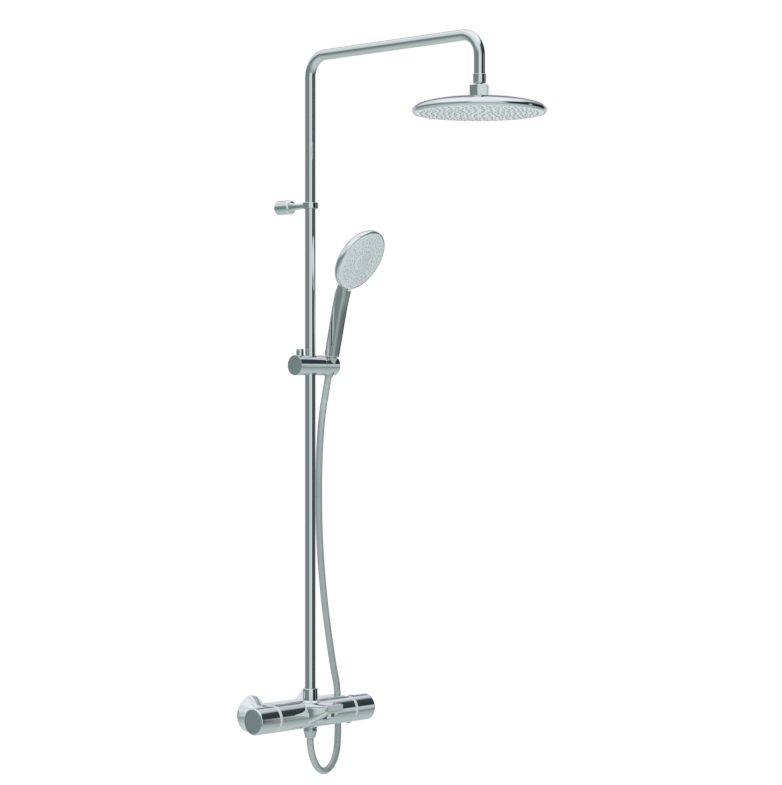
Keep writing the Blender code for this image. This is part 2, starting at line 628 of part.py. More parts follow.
def slider():
    """Round slider body on the riser, its bush, release button and the tilting holder."""
    at = Vector((0, AXIS_Y, SLIDER_Z))
    carriage = pivot("slider_carriage_pivot", at)
    bush = sleeve(0.0103, 0.0117, -0.0140, 0.0140)
    hang(carriage, add("slider_bush", bush, dark_plastic(), at))

    swing = pivot("slider_pivot", at)
    hang(carriage, swing)
    body = add("slider_body", rod(SLIDER_R, SLIDER_LEFT, SLIDER_SEAM, 0.0008), chrome(), at,
               "X")
    boolean(body, add("riser_passage", rod(0.0121, -0.030, 0.030), chrome(), at))
    button_x = -0.0270
    boolean(body, add("button_pocket", rod(0.0076, -0.0070, 0.030), chrome(),
                      at + Vector((button_x, 0, 0))))
    boolean(body, add("axle_seat", rod(0.0053, 0.0138, 0.040), chrome(), at, "X"))
    axle = add("holder_axle", rod(0.0050, 0.0142, 0.0316, 0.0005), steel(), at, "X")
    hang(swing, body, axle)

    press = pivot("slider_button_pivot", at + Vector((button_x, 0, SLIDER_R)))
    hang(swing, press)
    cap = [(0, 0.0090), (0.0072, 0.0090), (0.0072, 0.0225), (0.0068, 0.0300), (0.0060, 0.0312),
           (0, 0.0312)]
    button = add("slider_button", turned(cap), chrome(), at + Vector((button_x, 0, 0)))
    coil = spring("slider_button_spring", at + Vector((button_x, 0, -0.0067)), 0.0050, 0.0006,
                  0.0154, 4)
    hang(press, button, coil)

    tilt = pivot("holder_pivot", at)
    hang(swing, tilt)
    socket = add("holder_socket", rod(SLIDER_R, SLIDER_SEAM + 0.0004, SLIDER_RIGHT, 0.0012),
                 chrome(), at, "X")
    lean = Matrix.Rotation(HANDLE_LEAN, 3, "X")
    seat_place = at + lean @ Vector((HOLDER_X, -HANDLE_OFFSET, 0))
    taper = turned([(0, -0.030), (0.0091, -0.030), (0.0091, -0.0200), (0.0121, 0.0200),
                    (0.0121, 0.030), (0, 0.030)])
    boolean(socket, add("socket_taper", taper, chrome(), seat_place, turn=lean))
    boolean(socket, add("axle_bore", rod(0.0053, 0.0200, 0.0322), chrome(), at, "X"))
    boolean(socket, add("washer_recess", rod(0.0125, 0.0200, 0.0286), chrome(), at, "X"))
    washer = add("holder_friction_washer", sleeve(0.0055, 0.0121, 0.0268, 0.0283),
                 dark_plastic(), at, "X")
    hang(tilt, socket, washer)
    return tilt, seat_place, lean


def handset(tilt, seat_place, lean):
    """Handset in the holder's taper; its own frame has +Z up the handle, -Y to the front."""
    turn = lean @ Matrix.Rotation(HANDLE_TWIST, 3, "Z")
    hold = pivot("handset_pivot", seat_place, turn=turn)
    hang(tilt, hold)

    def place(point):
        return seat_place + turn @ Vector(point)

    face_local = FACE_TILT - HANDLE_LEAN
    face_centre = Vector((0, -0.0327, 0.2105))
    face_turn = turn @ Matrix.Rotation(face_local, 3, "X") @ Matrix.Rotation(math.pi / 2, 3, "X")

    rows = [(0.0195, 0.0000, 0.0112, 0.0102, 0), (0.0208, 0.0000, 0.0122, 0.0108, 0),
            (0.0600, 0.0000, 0.0126, 0.0111, 0), (0.1110, 0.0000, 0.0128, 0.0112, 2),
            (0.1395, -0.0012, 0.0130, 0.0112, 6), (0.1515, -0.0030, 0.0134, 0.0100, 12),
            (0.1615, -0.0052, 0.0142, 0.0078, 16), (0.1735, -0.0102, 0.0150, 0.0060, 20),
            (0.1875, -0.0148, 0.0150, 0.0050, 20)]
    rings = [(Vector((0, y, z)), half_x, half_y, math.radians(bend))
             for z, y, half_x, half_y, bend in rows]
    body = add("handset_body", loft(rings, 0.40), chrome(), seat_place, turn=turn)
    bowl = [(0, -0.0205), (0.0300, -0.0202), (0.0440, -0.0192), (0.0535, -0.0166),
            (0.0595, -0.0122), (0.0620, -0.0070), (0.0625, -0.0035), (0.0612, -0.0004),
            (FACE_R + 0.0004, 0.0), (FACE_R + 0.0004, -0.0022), (0, -0.0022)]
    boolean(body, add("handset_bowl_shape", turned(bowl), chrome(), place(face_centre),
                      turn=face_turn), "UNION")
    bore = rod(0.0078, 0.010, 0.0430)
    boolean(body, add("handset_inlet_bore", bore, chrome(), seat_place, turn=turn))
    nipple = sleeve(0.0045, 0.0074, 0.0035, 0.0420)
    nipple = add("handset_inlet_nipple", nipple, brass(), seat_place, turn=turn)
    washer = add("hose_washer_upper", sleeve(0.0040, 0.0074, 0.0008, 0.0031), rubber(),
                 seat_place, turn=turn)
    nut = [(0.0078, 0.0184), (0.0113, 0.0184), (0.0086, -0.0190), (0.0082, -0.0195),
           (0.0045, -0.0195), (0.0045, 0.0004), (0.0078, 0.0004)]
    nut = add("hose_upper_nut", turned(nut, closed=True), chrome(), seat_place, turn=turn)
    hang(hold, body, nipple, washer, nut)

    select = pivot("spray_selector_pivot", place(face_centre), turn=face_turn)
    hang(hold, select)
    disc = [(0, -0.0018), (FACE_R - 0.0003, -0.0018), (FACE_R, -0.0012), (FACE_R - 0.0005, 0.0002),
            (0.0500, 0.0007), (0.0200, 0.0010), (0, 0.0010)]
    disc = add("handset_spray_face", turned(disc), pale_plastic(), place(face_centre),
               turn=face_turn)
    tab = block((-0.0045, -0.0640, 0.0008), (0.0045, -0.0545, 0.0034))
    upright = [e for e in tab.edges if abs(e.verts[0].co.z - e.verts[1].co.z) > 0.002]
    bmesh.ops.bevel(tab, geom=upright, offset=0.0018, offset_type="OFFSET", segments=2,
                    profile=0.5, affect="EDGES", material=-1)
    tab = add("spray_selector_tab", tab, pale_plastic(), place(face_centre), turn=face_turn)
    hang(select, disc, tab)


def hose_route():
    """Where the hose lies, from the lower nut round its loop and up to the handset's nut."""
    lean = Matrix.Rotation(HANDLE_LEAN, 3, "X")
    seat = Vector((0, AXIS_Y, SLIDER_Z)) + lean @ Vector((HOLDER_X, -HANDLE_OFFSET, 0))
    top_end = seat + lean @ Vector((0, 0, -0.0195 - GAP))
    straight = seat + lean @ Vector((0, 0, -0.0500))
    front = [(0.0, 0.0, -0.0451), (0.0, 0.0, -0.0560), (0.0110, 0.0041, -0.0840),
             (0.0330, 0.0123, -0.1070), (0.0630, 0.0235, -0.1172), (0.0930, 0.0347, -0.1090),
             (0.1120, 0.0418, -0.0880), (0.1180, 0.0440, -0.0600), (0.1188, 0.0444, -0.0200),
             (0.1178, 0.0446, 0.0380), (0.1089, 0.0440, 0.0795), (0.0805, 0.0400, 0.1935),
             (0.0601, 0.0340, 0.3075), (0.0504, 0.0280, 0.4025), (0.0447, 0.0200, 0.4975),
             (0.0440, 0.0120, 0.5660)]
    points = [Vector((x, AXIS_Y + back, z)) for x, back, z in front]
    return points + [straight, top_end]


def hose():
    route = smooth_route(hose_route(), 0.019)
    curve = bpy.data.curves.new("hose_tube", "CURVE")
    curve.dimensions = "3D"
    curve.bevel_depth = HOSE_R
    curve.bevel_resolution = 2
    curve.use_fill_caps = True
    spline = curve.splines.new("POLY")
    spline.points.add(len(route) - 1)
    for point, place in zip(spline.points, route):
        point.co = (*place, 1.0)
    curve.materials.append(hose_skin())
    obj = bpy.data.objects.new("hose_tube", curve)
    bpy.context.scene.collection.objects.link(obj)
    length = sum((b - a).length for a, b in zip(route, route[1:]))
    print("hose length", round(length, 4), "points", len(route))


def main():
    clear_scene()
    mixer_body()
    spout_aerator()
    inlet_parts(-1, "left")
    inlet_parts(1, "right")
    flow_side()
    temperature_side()
    hose_connection()
    riser()
    riser_fittings()
    bracket()
    rain_head()
    tilt, seat_place, lean = slider()
    handset(tilt, seat_place, lean)
    hose()


main()
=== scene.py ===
# %% [markdown]
# A wall-mounted bath and shower column in chrome: a thermostatic mixer with a spout, a bent
# riser with a rain head, and a handset on a sliding holder with its hose.
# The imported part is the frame. Each visible piece is modelled again here at full smoothness, in
# the same place, because polished chrome shows every flat side of a coarse mesh.

# %% Load the frame
import json
import math

import bmesh
import bpy
import numpy as np
from mathutils import Matrix, Vector


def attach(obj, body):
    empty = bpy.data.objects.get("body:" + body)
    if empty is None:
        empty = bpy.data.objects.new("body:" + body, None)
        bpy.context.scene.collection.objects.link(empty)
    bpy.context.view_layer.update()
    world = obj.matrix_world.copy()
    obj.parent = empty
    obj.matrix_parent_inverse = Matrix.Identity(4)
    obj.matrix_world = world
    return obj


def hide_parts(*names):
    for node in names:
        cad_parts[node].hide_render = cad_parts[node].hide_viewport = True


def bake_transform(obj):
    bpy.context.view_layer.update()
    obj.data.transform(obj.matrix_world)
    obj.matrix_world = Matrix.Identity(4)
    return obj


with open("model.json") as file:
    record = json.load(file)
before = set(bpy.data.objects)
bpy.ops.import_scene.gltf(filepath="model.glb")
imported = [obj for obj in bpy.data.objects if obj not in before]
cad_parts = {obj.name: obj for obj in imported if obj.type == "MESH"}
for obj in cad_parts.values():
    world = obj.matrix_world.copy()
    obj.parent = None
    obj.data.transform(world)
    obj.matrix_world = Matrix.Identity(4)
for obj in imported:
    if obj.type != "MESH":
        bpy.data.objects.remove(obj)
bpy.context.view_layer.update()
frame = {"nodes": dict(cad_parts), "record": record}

# %% [markdown]
# The camera comes first, because every later look depends on it. It stands in front of the
# column on its left, level, at about half its height, with a long lens: a product shot is taken
# from far away so that the upright tube stays straight and the round parts are not stretched.

# %% Camera
eye = bpy.data.cameras.new("camera")
eye.lens = 106.13
eye.sensor_width = 36.0
eye.clip_end = 60.0
camera = bpy.data.objects.new("camera", eye)
camera.location = (-3.072, -3.211, 0.6086)
camera.rotation_euler = Vector((0.7254, 0.6884, 0.0)).to_track_quat("-Z", "Y").to_euler()
bpy.context.scene.collection.objects.link(camera)
bpy.context.scene.camera = camera
bpy.context.scene.view_settings.view_transform = "Standard"
print("lens", eye.lens, "mm at", tuple(camera.location))

# %% [markdown]
# The main sizes of the column. They are the maker's numbers: tube radius, height of the arm,
# places of the slider and the bracket, and the lean of the handset in its holder.

# %% Sizes
WALL_GAP = 0.085
AXIS_Y = -WALL_GAP
BARREL_R, BODY_LEFT, BODY_RIGHT = 0.025, -0.0950, 0.0990
RING_WIDTH, KNOB_LENGTH, GAP = 0.0060, 0.0467, 0.0003
KNOB_LEFT, KNOB_RIGHT = -0.1016, 0.1056
RISER_R, BEND_R, ARM_Z, ARM_REACH = 0.010, 0.039, 1.244, 0.426
HEAD_Y, BALL_Z, HEAD_R = AXIS_Y - ARM_REACH, ARM_Z - 0.1045, 0.120
BRACKET_Z, SLIDER_Z, SLIDER_R = 0.962, 0.660, 0.019
SLIDER_LEFT, SLIDER_SEAM, SLIDER_RIGHT = -0.0410, 0.0262, 0.0620
HOLDER_X, HANDLE_OFFSET = 0.0465, 0.0067
HANDLE_LEAN, HANDLE_TWIST = math.radians(13.2), math.radians(8.0)
FACE_TILT, FACE_R, HOSE_R = math.radians(31.0), 0.0595, 0.0065
INLET_X, AERATOR_Y, BUTTON_X = 0.075, AXIS_Y - 0.0505, -0.0270
LEAN = Matrix.Rotation(HANDLE_LEAN, 3, "X")
SEAT = Vector((0, AXIS_Y, SLIDER_Z)) + LEAN @ Vector((HOLDER_X, -HANDLE_OFFSET, 0))
HANDLE = Matrix.Translation(SEAT) @ (LEAN @ Matrix.Rotation(HANDLE_TWIST, 3, "Z")).to_4x4()
print("holder seat", [round(value, 4) for value in SEAT])

# %% [markdown]
# Chrome is a thin mirror of metal, and what makes it look real is how little is wrong with it:
# the gloss varies a little where it was wiped, and the surface swells very slightly, more on
# plated plastic and cast metal than on a drawn tube. A flat mirror with one roughness looks
# like a drawing. Two noises at different scales, one in the roughness and one in the bump,
# give that without any picture.

# %% Material helpers
def new_finish(name, colour, metallic, roughness):
    made = bpy.data.materials.new(name)
    made.use_nodes = True
    shader = made.node_tree.nodes["Principled BSDF"]
    shader.inputs["Base Color"].default_value = (*colour, 1.0)
    shader.inputs["Metallic"].default_value = metallic
    shader.inputs["Roughness"].default_value = roughness
    return made, made.node_tree, shader


def noise(tree, scale, detail=3.0, stretch=(1, 1, 1)):
    """Noise on Object coordinates, so that it stays on the piece when the piece moves."""
    where = tree.nodes.new("ShaderNodeTexCoord")
    lay = tree.nodes.new("ShaderNodeMapping")
    lay.inputs["Scale"].default_value = stretch
    grain = tree.nodes.new("ShaderNodeTexNoise")
    grain.inputs["Scale"].default_value = scale
    grain.inputs["Detail"].default_value = detail
    tree.links.new(where.outputs["Object"], lay.inputs["Vector"])
    tree.links.new(lay.outputs["Vector"], grain.inputs["Vector"])
    return grain


def vary(tree, source, socket, low, high):
    """Turn a pattern into a range of values on one of the shader's sockets."""
    span = tree.nodes.new("ShaderNodeMapRange")
    span.inputs["From Min"].default_value = 0.3
    span.inputs["From Max"].default_value = 0.7
    span.inputs["To Min"].default_value = low
    span.inputs["To Max"].default_value = high
    tree.links.new(source.outputs["Fac"], span.inputs["Value"])
    tree.links.new(span.outputs["Result"], socket)


def swell(tree, shader, source, strength, distance):
    bump = tree.nodes.new("ShaderNodeBump")
    bump.inputs["Strength"].default_value = strength
    bump.inputs["Distance"].default_value = distance
    tree.links.new(source.outputs["Fac"], bump.inputs["Height"])
    tree.links.new(bump.outputs["Normal"], shader.inputs["Normal"])


def tint(tree, shader, source, dark, light):
    ramp = tree.nodes.new("ShaderNodeValToRGB")
    ramp.color_ramp.elements[0].position, ramp.color_ramp.elements[1].position = 0.3, 0.7
    ramp.color_ramp.elements[0].color = (*dark, 1.0)
    ramp.color_ramp.elements[1].color = (*light, 1.0)
    tree.links.new(source.outputs["Fac"], ramp.inputs["Fac"])
    tree.links.new(ramp.outputs["Color"], shader.inputs["Base Color"])


def chrome(name, swelling, wiped):
    made, tree, shader = new_finish(name, (0.82, 0.86, 0.85), 1.0, 0.06)
    vary(tree, noise(tree, 38.0, 4.0), shader.inputs["Roughness"], 0.035, wiped)
    swell(tree, shader, noise(tree, 60.0, 2.0), swelling, 0.0004)
    return made


# %% Chrome finishes
tube_chrome = chrome("tube_chrome", 0.02, 0.075)
cast_chrome = chrome("cast_chrome", 0.05, 0.085)
moulded_chrome = chrome("moulded_chrome", 0.06, 0.095)
print("chrome finishes made")

# %% [markdown]
# The plastics, rubber and bare metals each have one thing that gives them away: moulded
# plastic has a fine even grain and soft gloss, silicone is duller and lets a little light in,
# rubber is almost without gloss, machined brass and steel show fine lines, and the hose skin is
# a clear satin layer over a grey core.

# %% Plastic, rubber, brass, steel and hose finishes
def moulded(name, dark, light, roughness, grain=900.0, coat=0.0):
    made, tree, shader = new_finish(name, light, 0.0, roughness)
    tint(tree, shader, noise(tree, 25.0, 3.0), dark, light)
    vary(tree, noise(tree, 140.0), shader.inputs["Roughness"], roughness - 0.05, roughness + 0.06)
    swell(tree, shader, noise(tree, grain, 2.0), 0.12, 0.0002)
    shader.inputs["Coat Weight"].default_value = coat
    shader.inputs["Coat Roughness"].default_value = 0.12
    return made


def machined(name, dark, light, roughness):
    made, tree, shader = new_finish(name, light, 1.0, roughness)
    lines = noise(tree, 420.0, 4.0, (1.0, 1.0, 9.0))
    tint(tree, shader, lines, dark, light)
    vary(tree, lines, shader.inputs["Roughness"], roughness - 0.06, roughness + 0.10)
    swell(tree, shader, lines, 0.15, 0.0001)
    return made


spray_white = moulded("spray_plate_plastic", (0.80, 0.84, 0.83), (0.85, 0.89, 0.88), 0.36,
                      coat=0.15)
nozzle_silicone = moulded("nozzle_silicone", (0.48, 0.54, 0.53), (0.54, 0.60, 0.59), 0.50)
nozzle_silicone.node_tree.nodes["Principled BSDF"].inputs["Subsurface Weight"].default_value = 0.1
satin_ring = moulded("satin_stop_ring", (0.78, 0.82, 0.81), (0.86, 0.90, 0.89), 0.36)
safety_red = moulded("safety_button_red", (0.62, 0.16, 0.24), (0.72, 0.22, 0.30), 0.32, coat=0.3)
black_rubber = moulded("washer_rubber", (0.02, 0.02, 0.02), (0.05, 0.05, 0.05), 0.72)
dark_plastic = moulded("inner_plastic", (0.05, 0.055, 0.06), (0.09, 0.095, 0.10), 0.45)
machined_brass = machined("machined_brass", (0.60, 0.44, 0.20), (0.80, 0.62, 0.32), 0.28)
bright_steel = machined("bright_steel", (0.50, 0.51, 0.52), (0.70, 0.71, 0.72), 0.24)
hose_satin = moulded("hose_satin", (0.52, 0.59, 0.57), (0.58, 0.65, 0.63), 0.38, 120.0, 0.35)
hose_satin.node_tree.nodes["Principled BSDF"].inputs["Metallic"].default_value = 0.25
print("finishes", len(bpy.data.materials))

# %% [markdown]
# Inner pieces such as washers, cartridges and springs keep their CAD shape, which is right, and
# take a better finish. The list below pairs each slot of the record with one of the finishes.

# %% Finishes on the CAD nodes
slot_finish = {
    "brass_chromed": cast_chrome, "plastic_chromed": moulded_chrome, "satin_ring": satin_ring,
    "red_plastic": safety_red, "pale_plastic": spray_white, "dark_plastic": dark_plastic,
    "silicone": nozzle_silicone, "rubber": black_rubber, "brass": machined_brass,
    "steel": bright_steel, "hose_skin": hose_satin}
slot_of = {row["node"]: row["material_slot"] for row in frame["record"]["subparts"]}
for node, obj in frame["nodes"].items():
    for index in range(len(obj.material_slots)):
        obj.material_slots[index].material = slot_finish[slot_of[node]]
print("CAD nodes with a finish", len(slot_of))

# %% [markdown]
# Most of the column is turned on a lathe or could be, so most pieces are a profile spun round
# an axis. A bmesh spin is exact and keeps neat quads, which bevel cleanly afterwards: real
# edges are never sharp, and the thin bright line along a chamfer is what makes metal look
# machined.

# %% Turning, beveling and placing
def turned(profile, steps=96, closed=False):
    """Spin (radius, height) points about Z; closed joins the last point to the first."""
    bm = bmesh.new()
    verts = [bm.verts.new((radius, 0.0, height)) for radius, height in profile]
    pairs = list(zip(verts, verts[1:]))
    if closed:
        pairs.append((verts[-1], verts[0]))
    edges = [bm.edges.new(pair) for pair in pairs]
    bmesh.ops.spin(bm, geom=verts + edges, cent=(0, 0, 0), axis=(0, 0, 1), angle=2 * math.pi,
                   steps=steps, use_merge=True, use_duplicate=False)
    bmesh.ops.remove_doubles(bm, verts=bm.verts, dist=1e-6)
    bmesh.ops.recalc_face_normals(bm, faces=bm.faces)
    return bm


def soften(bm, size, above=30.0, segments=3):
    """Bevel every edge that turns more than the angle."""
    turning = [e for e in bm.edges if len(e.link_faces) == 2
               and e.calc_face_angle(0.0) > math.radians(above)]
    bmesh.ops.bevel(bm, geom=turning, offset=size, offset_type="OFFSET", segments=segments,
                    profile=0.5, affect="EDGES", clamp_overlap=True, material=-1)
    return bm


def block(low, high):
    bm = bmesh.new()
    bmesh.ops.create_cube(bm, size=1.0)
    bmesh.ops.scale(bm, vec=[b - a for a, b in zip(low, high)], verts=bm.verts)
    bmesh.ops.translate(bm, vec=[(a + b) / 2 for a, b in zip(low, high)], verts=bm.verts)
    return bm


def hexagon(across, low, high):
    bm = bmesh.new()
    corner = across / math.sqrt(3)
    bmesh.ops.create_cone(bm, cap_ends=True, segments=6, radius1=corner, radius2=corner,
                          depth=high - low)
    bmesh.ops.translate(bm, vec=(0, 0, (low + high) / 2), verts=bm.verts)
    return bm


def loft(rings, corners=48, power=0.62):
    """Bridge a row of rounded-square rings: each is (centre, half width, half height, lean)."""
    bm = bmesh.new()
    loops = []
    for centre, half_x, half_y, lean in rings:
        made = bmesh.ops.create_circle(bm, segments=corners, radius=1.0)["verts"]
        for vert in made:
            vert.co.x = math.copysign(abs(vert.co.x) ** power, vert.co.x) * half_x
            vert.co.y = math.copysign(abs(vert.co.y) ** power, vert.co.y) * half_y
        bmesh.ops.rotate(bm, verts=made, cent=(0, 0, 0), matrix=Matrix.Rotation(lean, 3, "X"))
        bmesh.ops.translate(bm, verts=made, vec=centre)
        own = set(made)
        loops.append([e for e in {e for v in made for e in v.link_edges}
                      if all(v in own for v in e.verts)])
    for lower, upper in zip(loops, loops[1:]):
        bmesh.ops.bridge_loops(bm, edges=lower + upper)
    bmesh.ops.contextual_create(bm, geom=loops[0])
    bmesh.ops.contextual_create(bm, geom=loops[-1])
    bmesh.ops.recalc_face_normals(bm, faces=bm.faces)
    return bm


TURNS = {"Z": Matrix.Identity(4), "-Z": Matrix.Rotation(math.pi, 4, "X"),
         "X": Matrix.Rotation(math.pi / 2, 4, "Y"), "-X": Matrix.Rotation(-math.pi / 2, 4, "Y"),
         "Y": Matrix.Rotation(-math.pi / 2, 4, "X")}


def at(x, y, z, axis="Z"):
    """A place with the piece's own +Z along the named axis."""
    return Matrix.Translation((x, y, z)) @ TURNS[axis]


def bare(name, bm, place=None):
    """Link a bmesh as an object at the origin, with its place in its mesh."""
    if place is not None:
        bmesh.ops.transform(bm, matrix=place, verts=bm.verts)
    mesh = bpy.data.meshes.new(name)
    bm.to_mesh(mesh)
    bm.free()
    obj = bpy.data.objects.new(name, mesh)
    bpy.context.scene.collection.objects.link(obj)
    return obj


def piece(name, bm, finish, body, nodes=(), place=None, sharp=38.0):
    """Link a finished piece, let it ride on its body and stand for its CAD nodes."""
    obj = bare(name, bm, place)
    obj.data.shade_smooth()
    obj.data.set_sharp_from_angle(angle=math.radians(sharp))
    obj.data.materials.append(finish)
    even = obj.modifiers.new("even_shading", "WEIGHTED_NORMAL")
    even.keep_sharp = True
    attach(obj, body)
    if nodes:
        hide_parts(*nodes)
    return obj


def merged(parts, cuts=()):
    """Join closed solids into one and cut others out of it, as (bmesh, place) pairs."""
    solids = [bare("solid", bm, place) for bm, place in parts]
    knives = [bare("knife", bm, place) for bm, place in cuts]
    base = solids[0]
    for other in solids[1:] + knives:
        step = base.modifiers.new("step", "BOOLEAN")
        step.operation = "DIFFERENCE" if other in knives else "UNION"
        step.solver = "EXACT"
        step.object = other
    graph = bpy.context.evaluated_depsgraph_get()
    bm = bmesh.new()
    bm.from_mesh(base.evaluated_get(graph).data)
    for obj in solids + knives:
        bpy.data.objects.remove(obj, do_unlink=True)
    bmesh.ops.remove_doubles(bm, verts=bm.verts, dist=1e-6)
    return bm


print("helpers ready")

# %% [markdown]
# The hose is a smooth skin over a reinforced tube, 13 mm thick. It leaves the nut under the
# mixer straight down, turns up in one loop behind the body and climbs to the handset. A curve
# with a round section gives the tube, and it is made a mesh so that it can bend between the
# bodies. It is cut in three lengths that meet end to end, because each length may only bend
# across one joint: the slide, the swing and the tilt of the holder.

# %% Hose route
def smooth_route(points, step):
    """A centripetal Catmull-Rom curve through the points, sampled about every step."""
    pts = [Vector(p) for p in points]
    pts = [2 * pts[0] - pts[1]] + pts + [2 * pts[-1] - pts[-2]]
    route = []
    for a, b, c, d in zip(pts, pts[1:], pts[2:], pts[3:]):
        t1 = (b - a).length ** 0.5
        t2 = t1 + (c - b).length ** 0.5
        t3 = t2 + (d - c).length ** 0.5
        count = max(1, round((c - b).length / step))
        for i in range(count):
            t = t1 + (t2 - t1) * i / count
            ab = a.lerp(b, t / t1)
            bc = b.lerp(c, (t - t1) / (t2 - t1))
            cd = c.lerp(d, (t - t2) / (t3 - t2))
            abc = ab.lerp(bc, t / t2)
            bcd = bc.lerp(cd, (t - t1) / (t3 - t1))
            route.append(abc.lerp(bcd, (t - t1) / (t2 - t1)))
    route.append(pts[-2])
    return route


front = [(0.0, 0.0, -0.0451), (0.0, 0.0, -0.0560), (0.0110, 0.0041, -0.0840),
         (0.0330, 0.0123, -0.1070), (0.0630, 0.0235, -0.1172), (0.0930, 0.0347, -0.1090),
         (0.1120, 0.0418, -0.0880), (0.1180, 0.0440, -0.0600), (0.1188, 0.0444, -0.0200),
         (0.1158, 0.0442, 0.0380), (0.1049, 0.0432, 0.0795), (0.0795, 0.0397, 0.1935),
         (0.0601, 0.0340, 0.3075), (0.0504, 0.0280, 0.4025), (0.0447, 0.0200, 0.4975),
         (0.0440, 0.0120, 0.5660)]
knots = [Vector((x, AXIS_Y + back, z)) for x, back, z in front]
knots += [SEAT + LEAN @ Vector((0, 0, -0.0500)), SEAT + LEAN @ Vector((0, 0, -0.0198))]
hose_line = smooth_route(knots, 0.004)
hose_length = sum((b - a).length for a, b in zip(hose_line, hose_line[1:]))
print("hose length", round(hose_length, 4), "points", len(hose_line))

# %% Hose in three lengths
curve = bpy.data.curves.new("hose_line", "CURVE")
curve.dimensions = "3D"
curve.bevel_depth = HOSE_R
curve.bevel_resolution = 6
curve.use_fill_caps = True
spline = curve.splines.new("POLY")
spline.points.add(len(hose_line) - 1)
for point, place in zip(spline.points, hose_line):
    point.co = (*place, 1.0)
whole = bpy.data.objects.new("hose_line", curve)
bpy.context.scene.collection.objects.link(whole)
whole_mesh = bpy.data.meshes.new_from_object(
    whole.evaluated_get(bpy.context.evaluated_depsgraph_get()))
bpy.data.objects.remove(whole, do_unlink=True)


def hose_part(name, low, high):
    """The stretch of hose above the loop between two heights; low None takes in the loop."""
    bm = bmesh.new()
    bm.from_mesh(whole_mesh)
    bmesh.ops.remove_doubles(bm, verts=bm.verts, dist=1e-6)
    for level, side in ((low, -1), (high, 1)):
        if level is None:
            continue
        bmesh.ops.bisect_plane(bm, geom=bm.verts[:] + bm.edges[:] + bm.faces[:],
                               plane_co=(0, 0, level), plane_no=(0, 0, side),
                               clear_outer=True)
        bmesh.ops.holes_fill(bm, edges=[e for e in bm.edges if e.is_boundary])
    bmesh.ops.recalc_face_normals(bm, faces=bm.faces)
    obj = bare(name, bm)
    obj.data.shade_smooth()
    obj.data.set_sharp_from_angle(angle=math.radians(50))
    obj.data.materials.append(hose_satin)
    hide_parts("hose_tube")
    return obj


SLIDE_TOP, SWING_TOP = 0.500, 0.600
hose_low = hose_part("hose_low", None, SLIDE_TOP)
hose_mid = hose_part("hose_mid", SLIDE_TOP, SWING_TOP)
hose_top = hose_part("hose_top", SWING_TOP, None)
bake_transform(hose_low)
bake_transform(hose_mid)
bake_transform(hose_top)

# %% [markdown]
# The mixer body is one brass casting: a round barrel, a flat deck behind it that hides the
# joint with the wall necks, the spout grown out of its front, and small bosses for the riser
# and the hose. Building it from simple solids and uniting them is how the pattern maker
# thinks about it too. The spout is lofted, so that its root flares into the barrel.

# %% Mixer body
def spout():
    """Flat top level with the barrel; the underside rises from a deep root to a thin tip."""
    rows = [(0.0040, 0.0300, -0.0180, 0.0240), (-0.0120, 0.0300, -0.0168, 0.0240),
            (-0.0200, 0.0290, -0.0148, 0.0240), (-0.0260, 0.0272, -0.0124, 0.0240),
            (-0.0320, 0.0257, -0.0096, 0.0240), (-0.0380, 0.0247, -0.0064, 0.0240),
            (-0.0460, 0.0239, -0.0018, 0.0240), (-0.0540, 0.0234, 0.0030, 0.0240),
            (-0.0610, 0.0230, 0.0068, 0.0240), (-0.0645, 0.0227, 0.0088, 0.0240),
            (-0.0660, 0.0222, 0.0098, 0.0237), (-0.0668, 0.0213, 0.0108, 0.0230),
            (-0.0670, 0.0200, 0.0122, 0.0219)]
    rings = [((0, y, (low + top) / 2), half, (top - low) / 2, math.pi / 2)
             for y, half, low, top in rows]
    return loft(rings, 64, 0.36)


barrel = soften(turned([(0, BODY_LEFT), (BARREL_R, BODY_LEFT), (BARREL_R, BODY_RIGHT),
                        (0, BODY_RIGHT)], 128), 0.0006)
deck = block((BODY_LEFT + 0.001, 0.0013, -0.0168), (BODY_RIGHT - 0.001, 0.0360, 0.0264))
deck_edges = [e for e in deck.edges if max(v.co.y for v in e.verts) > 0.03]
bmesh.ops.bevel(deck, geom=deck_edges, offset=0.005, offset_type="OFFSET", segments=6,
                profile=0.5, affect="EDGES", material=-1)
boss = turned([(0, 0.0), (0.0225, 0.0), (0.0212, 0.0215), (0.0200, 0.0243), (0.0180, 0.0260),
               (0.0158, 0.0270), (0.0148, 0.0273), (0.0148, 0.0280), (0, 0.0280)])
hose_boss = turned([(0, -0.0272), (0.0120, -0.0272), (0.0126, -0.0266), (0.0128, -0.0235),
                    (0.0150, -0.0205), (0.0180, -0.0180), (0, -0.0100)])
necks = [(turned([(0, 0.020), (0.0124, 0.020), (0.0124, 0.0455), (0.0119, 0.0460), (0, 0.0460)]),
          at(side * INLET_X, AXIS_Y, 0, "Y")) for side in (-1, 1)]
here = at(0, AXIS_Y, 0)
body_shape = merged([(barrel, at(0, AXIS_Y, 0, "X")), (deck, here), (spout(), here),
                     (boss, here), (hose_boss, here), *necks],
                    [(turned([(0, -0.03), (0.0108, -0.03), (0.0108, 0.0165), (0, 0.0165)]),
                      at(0, AERATOR_Y, 0))])
piece("mixer_casting", body_shape, cast_chrome, "column", ["mixer_body"], sharp=30.0)

aerator = turned([(0, 0.0160), (0.0104, 0.0160), (0.0104, 0.0008), (0.0100, 0.0002),
                  (0.0086, 0.0002), (0.0082, 0.0008), (0.0082, 0.0030), (0.0060, 0.0026),
                  (0.0040, 0.0030), (0, 0.0028)])
piece("aerator_ring", aerator, moulded_chrome, "column", ["spout_aerator"],
      at(0, AERATOR_Y, 0))
print("mixer body made")

# %% [markdown]
# Each wall inlet has a conical rosette that covers the hole in the tiles, and a hexagonal union
# nut between the rosette and the body. Their edges are only lightly broken, so a small bevel is
# enough.

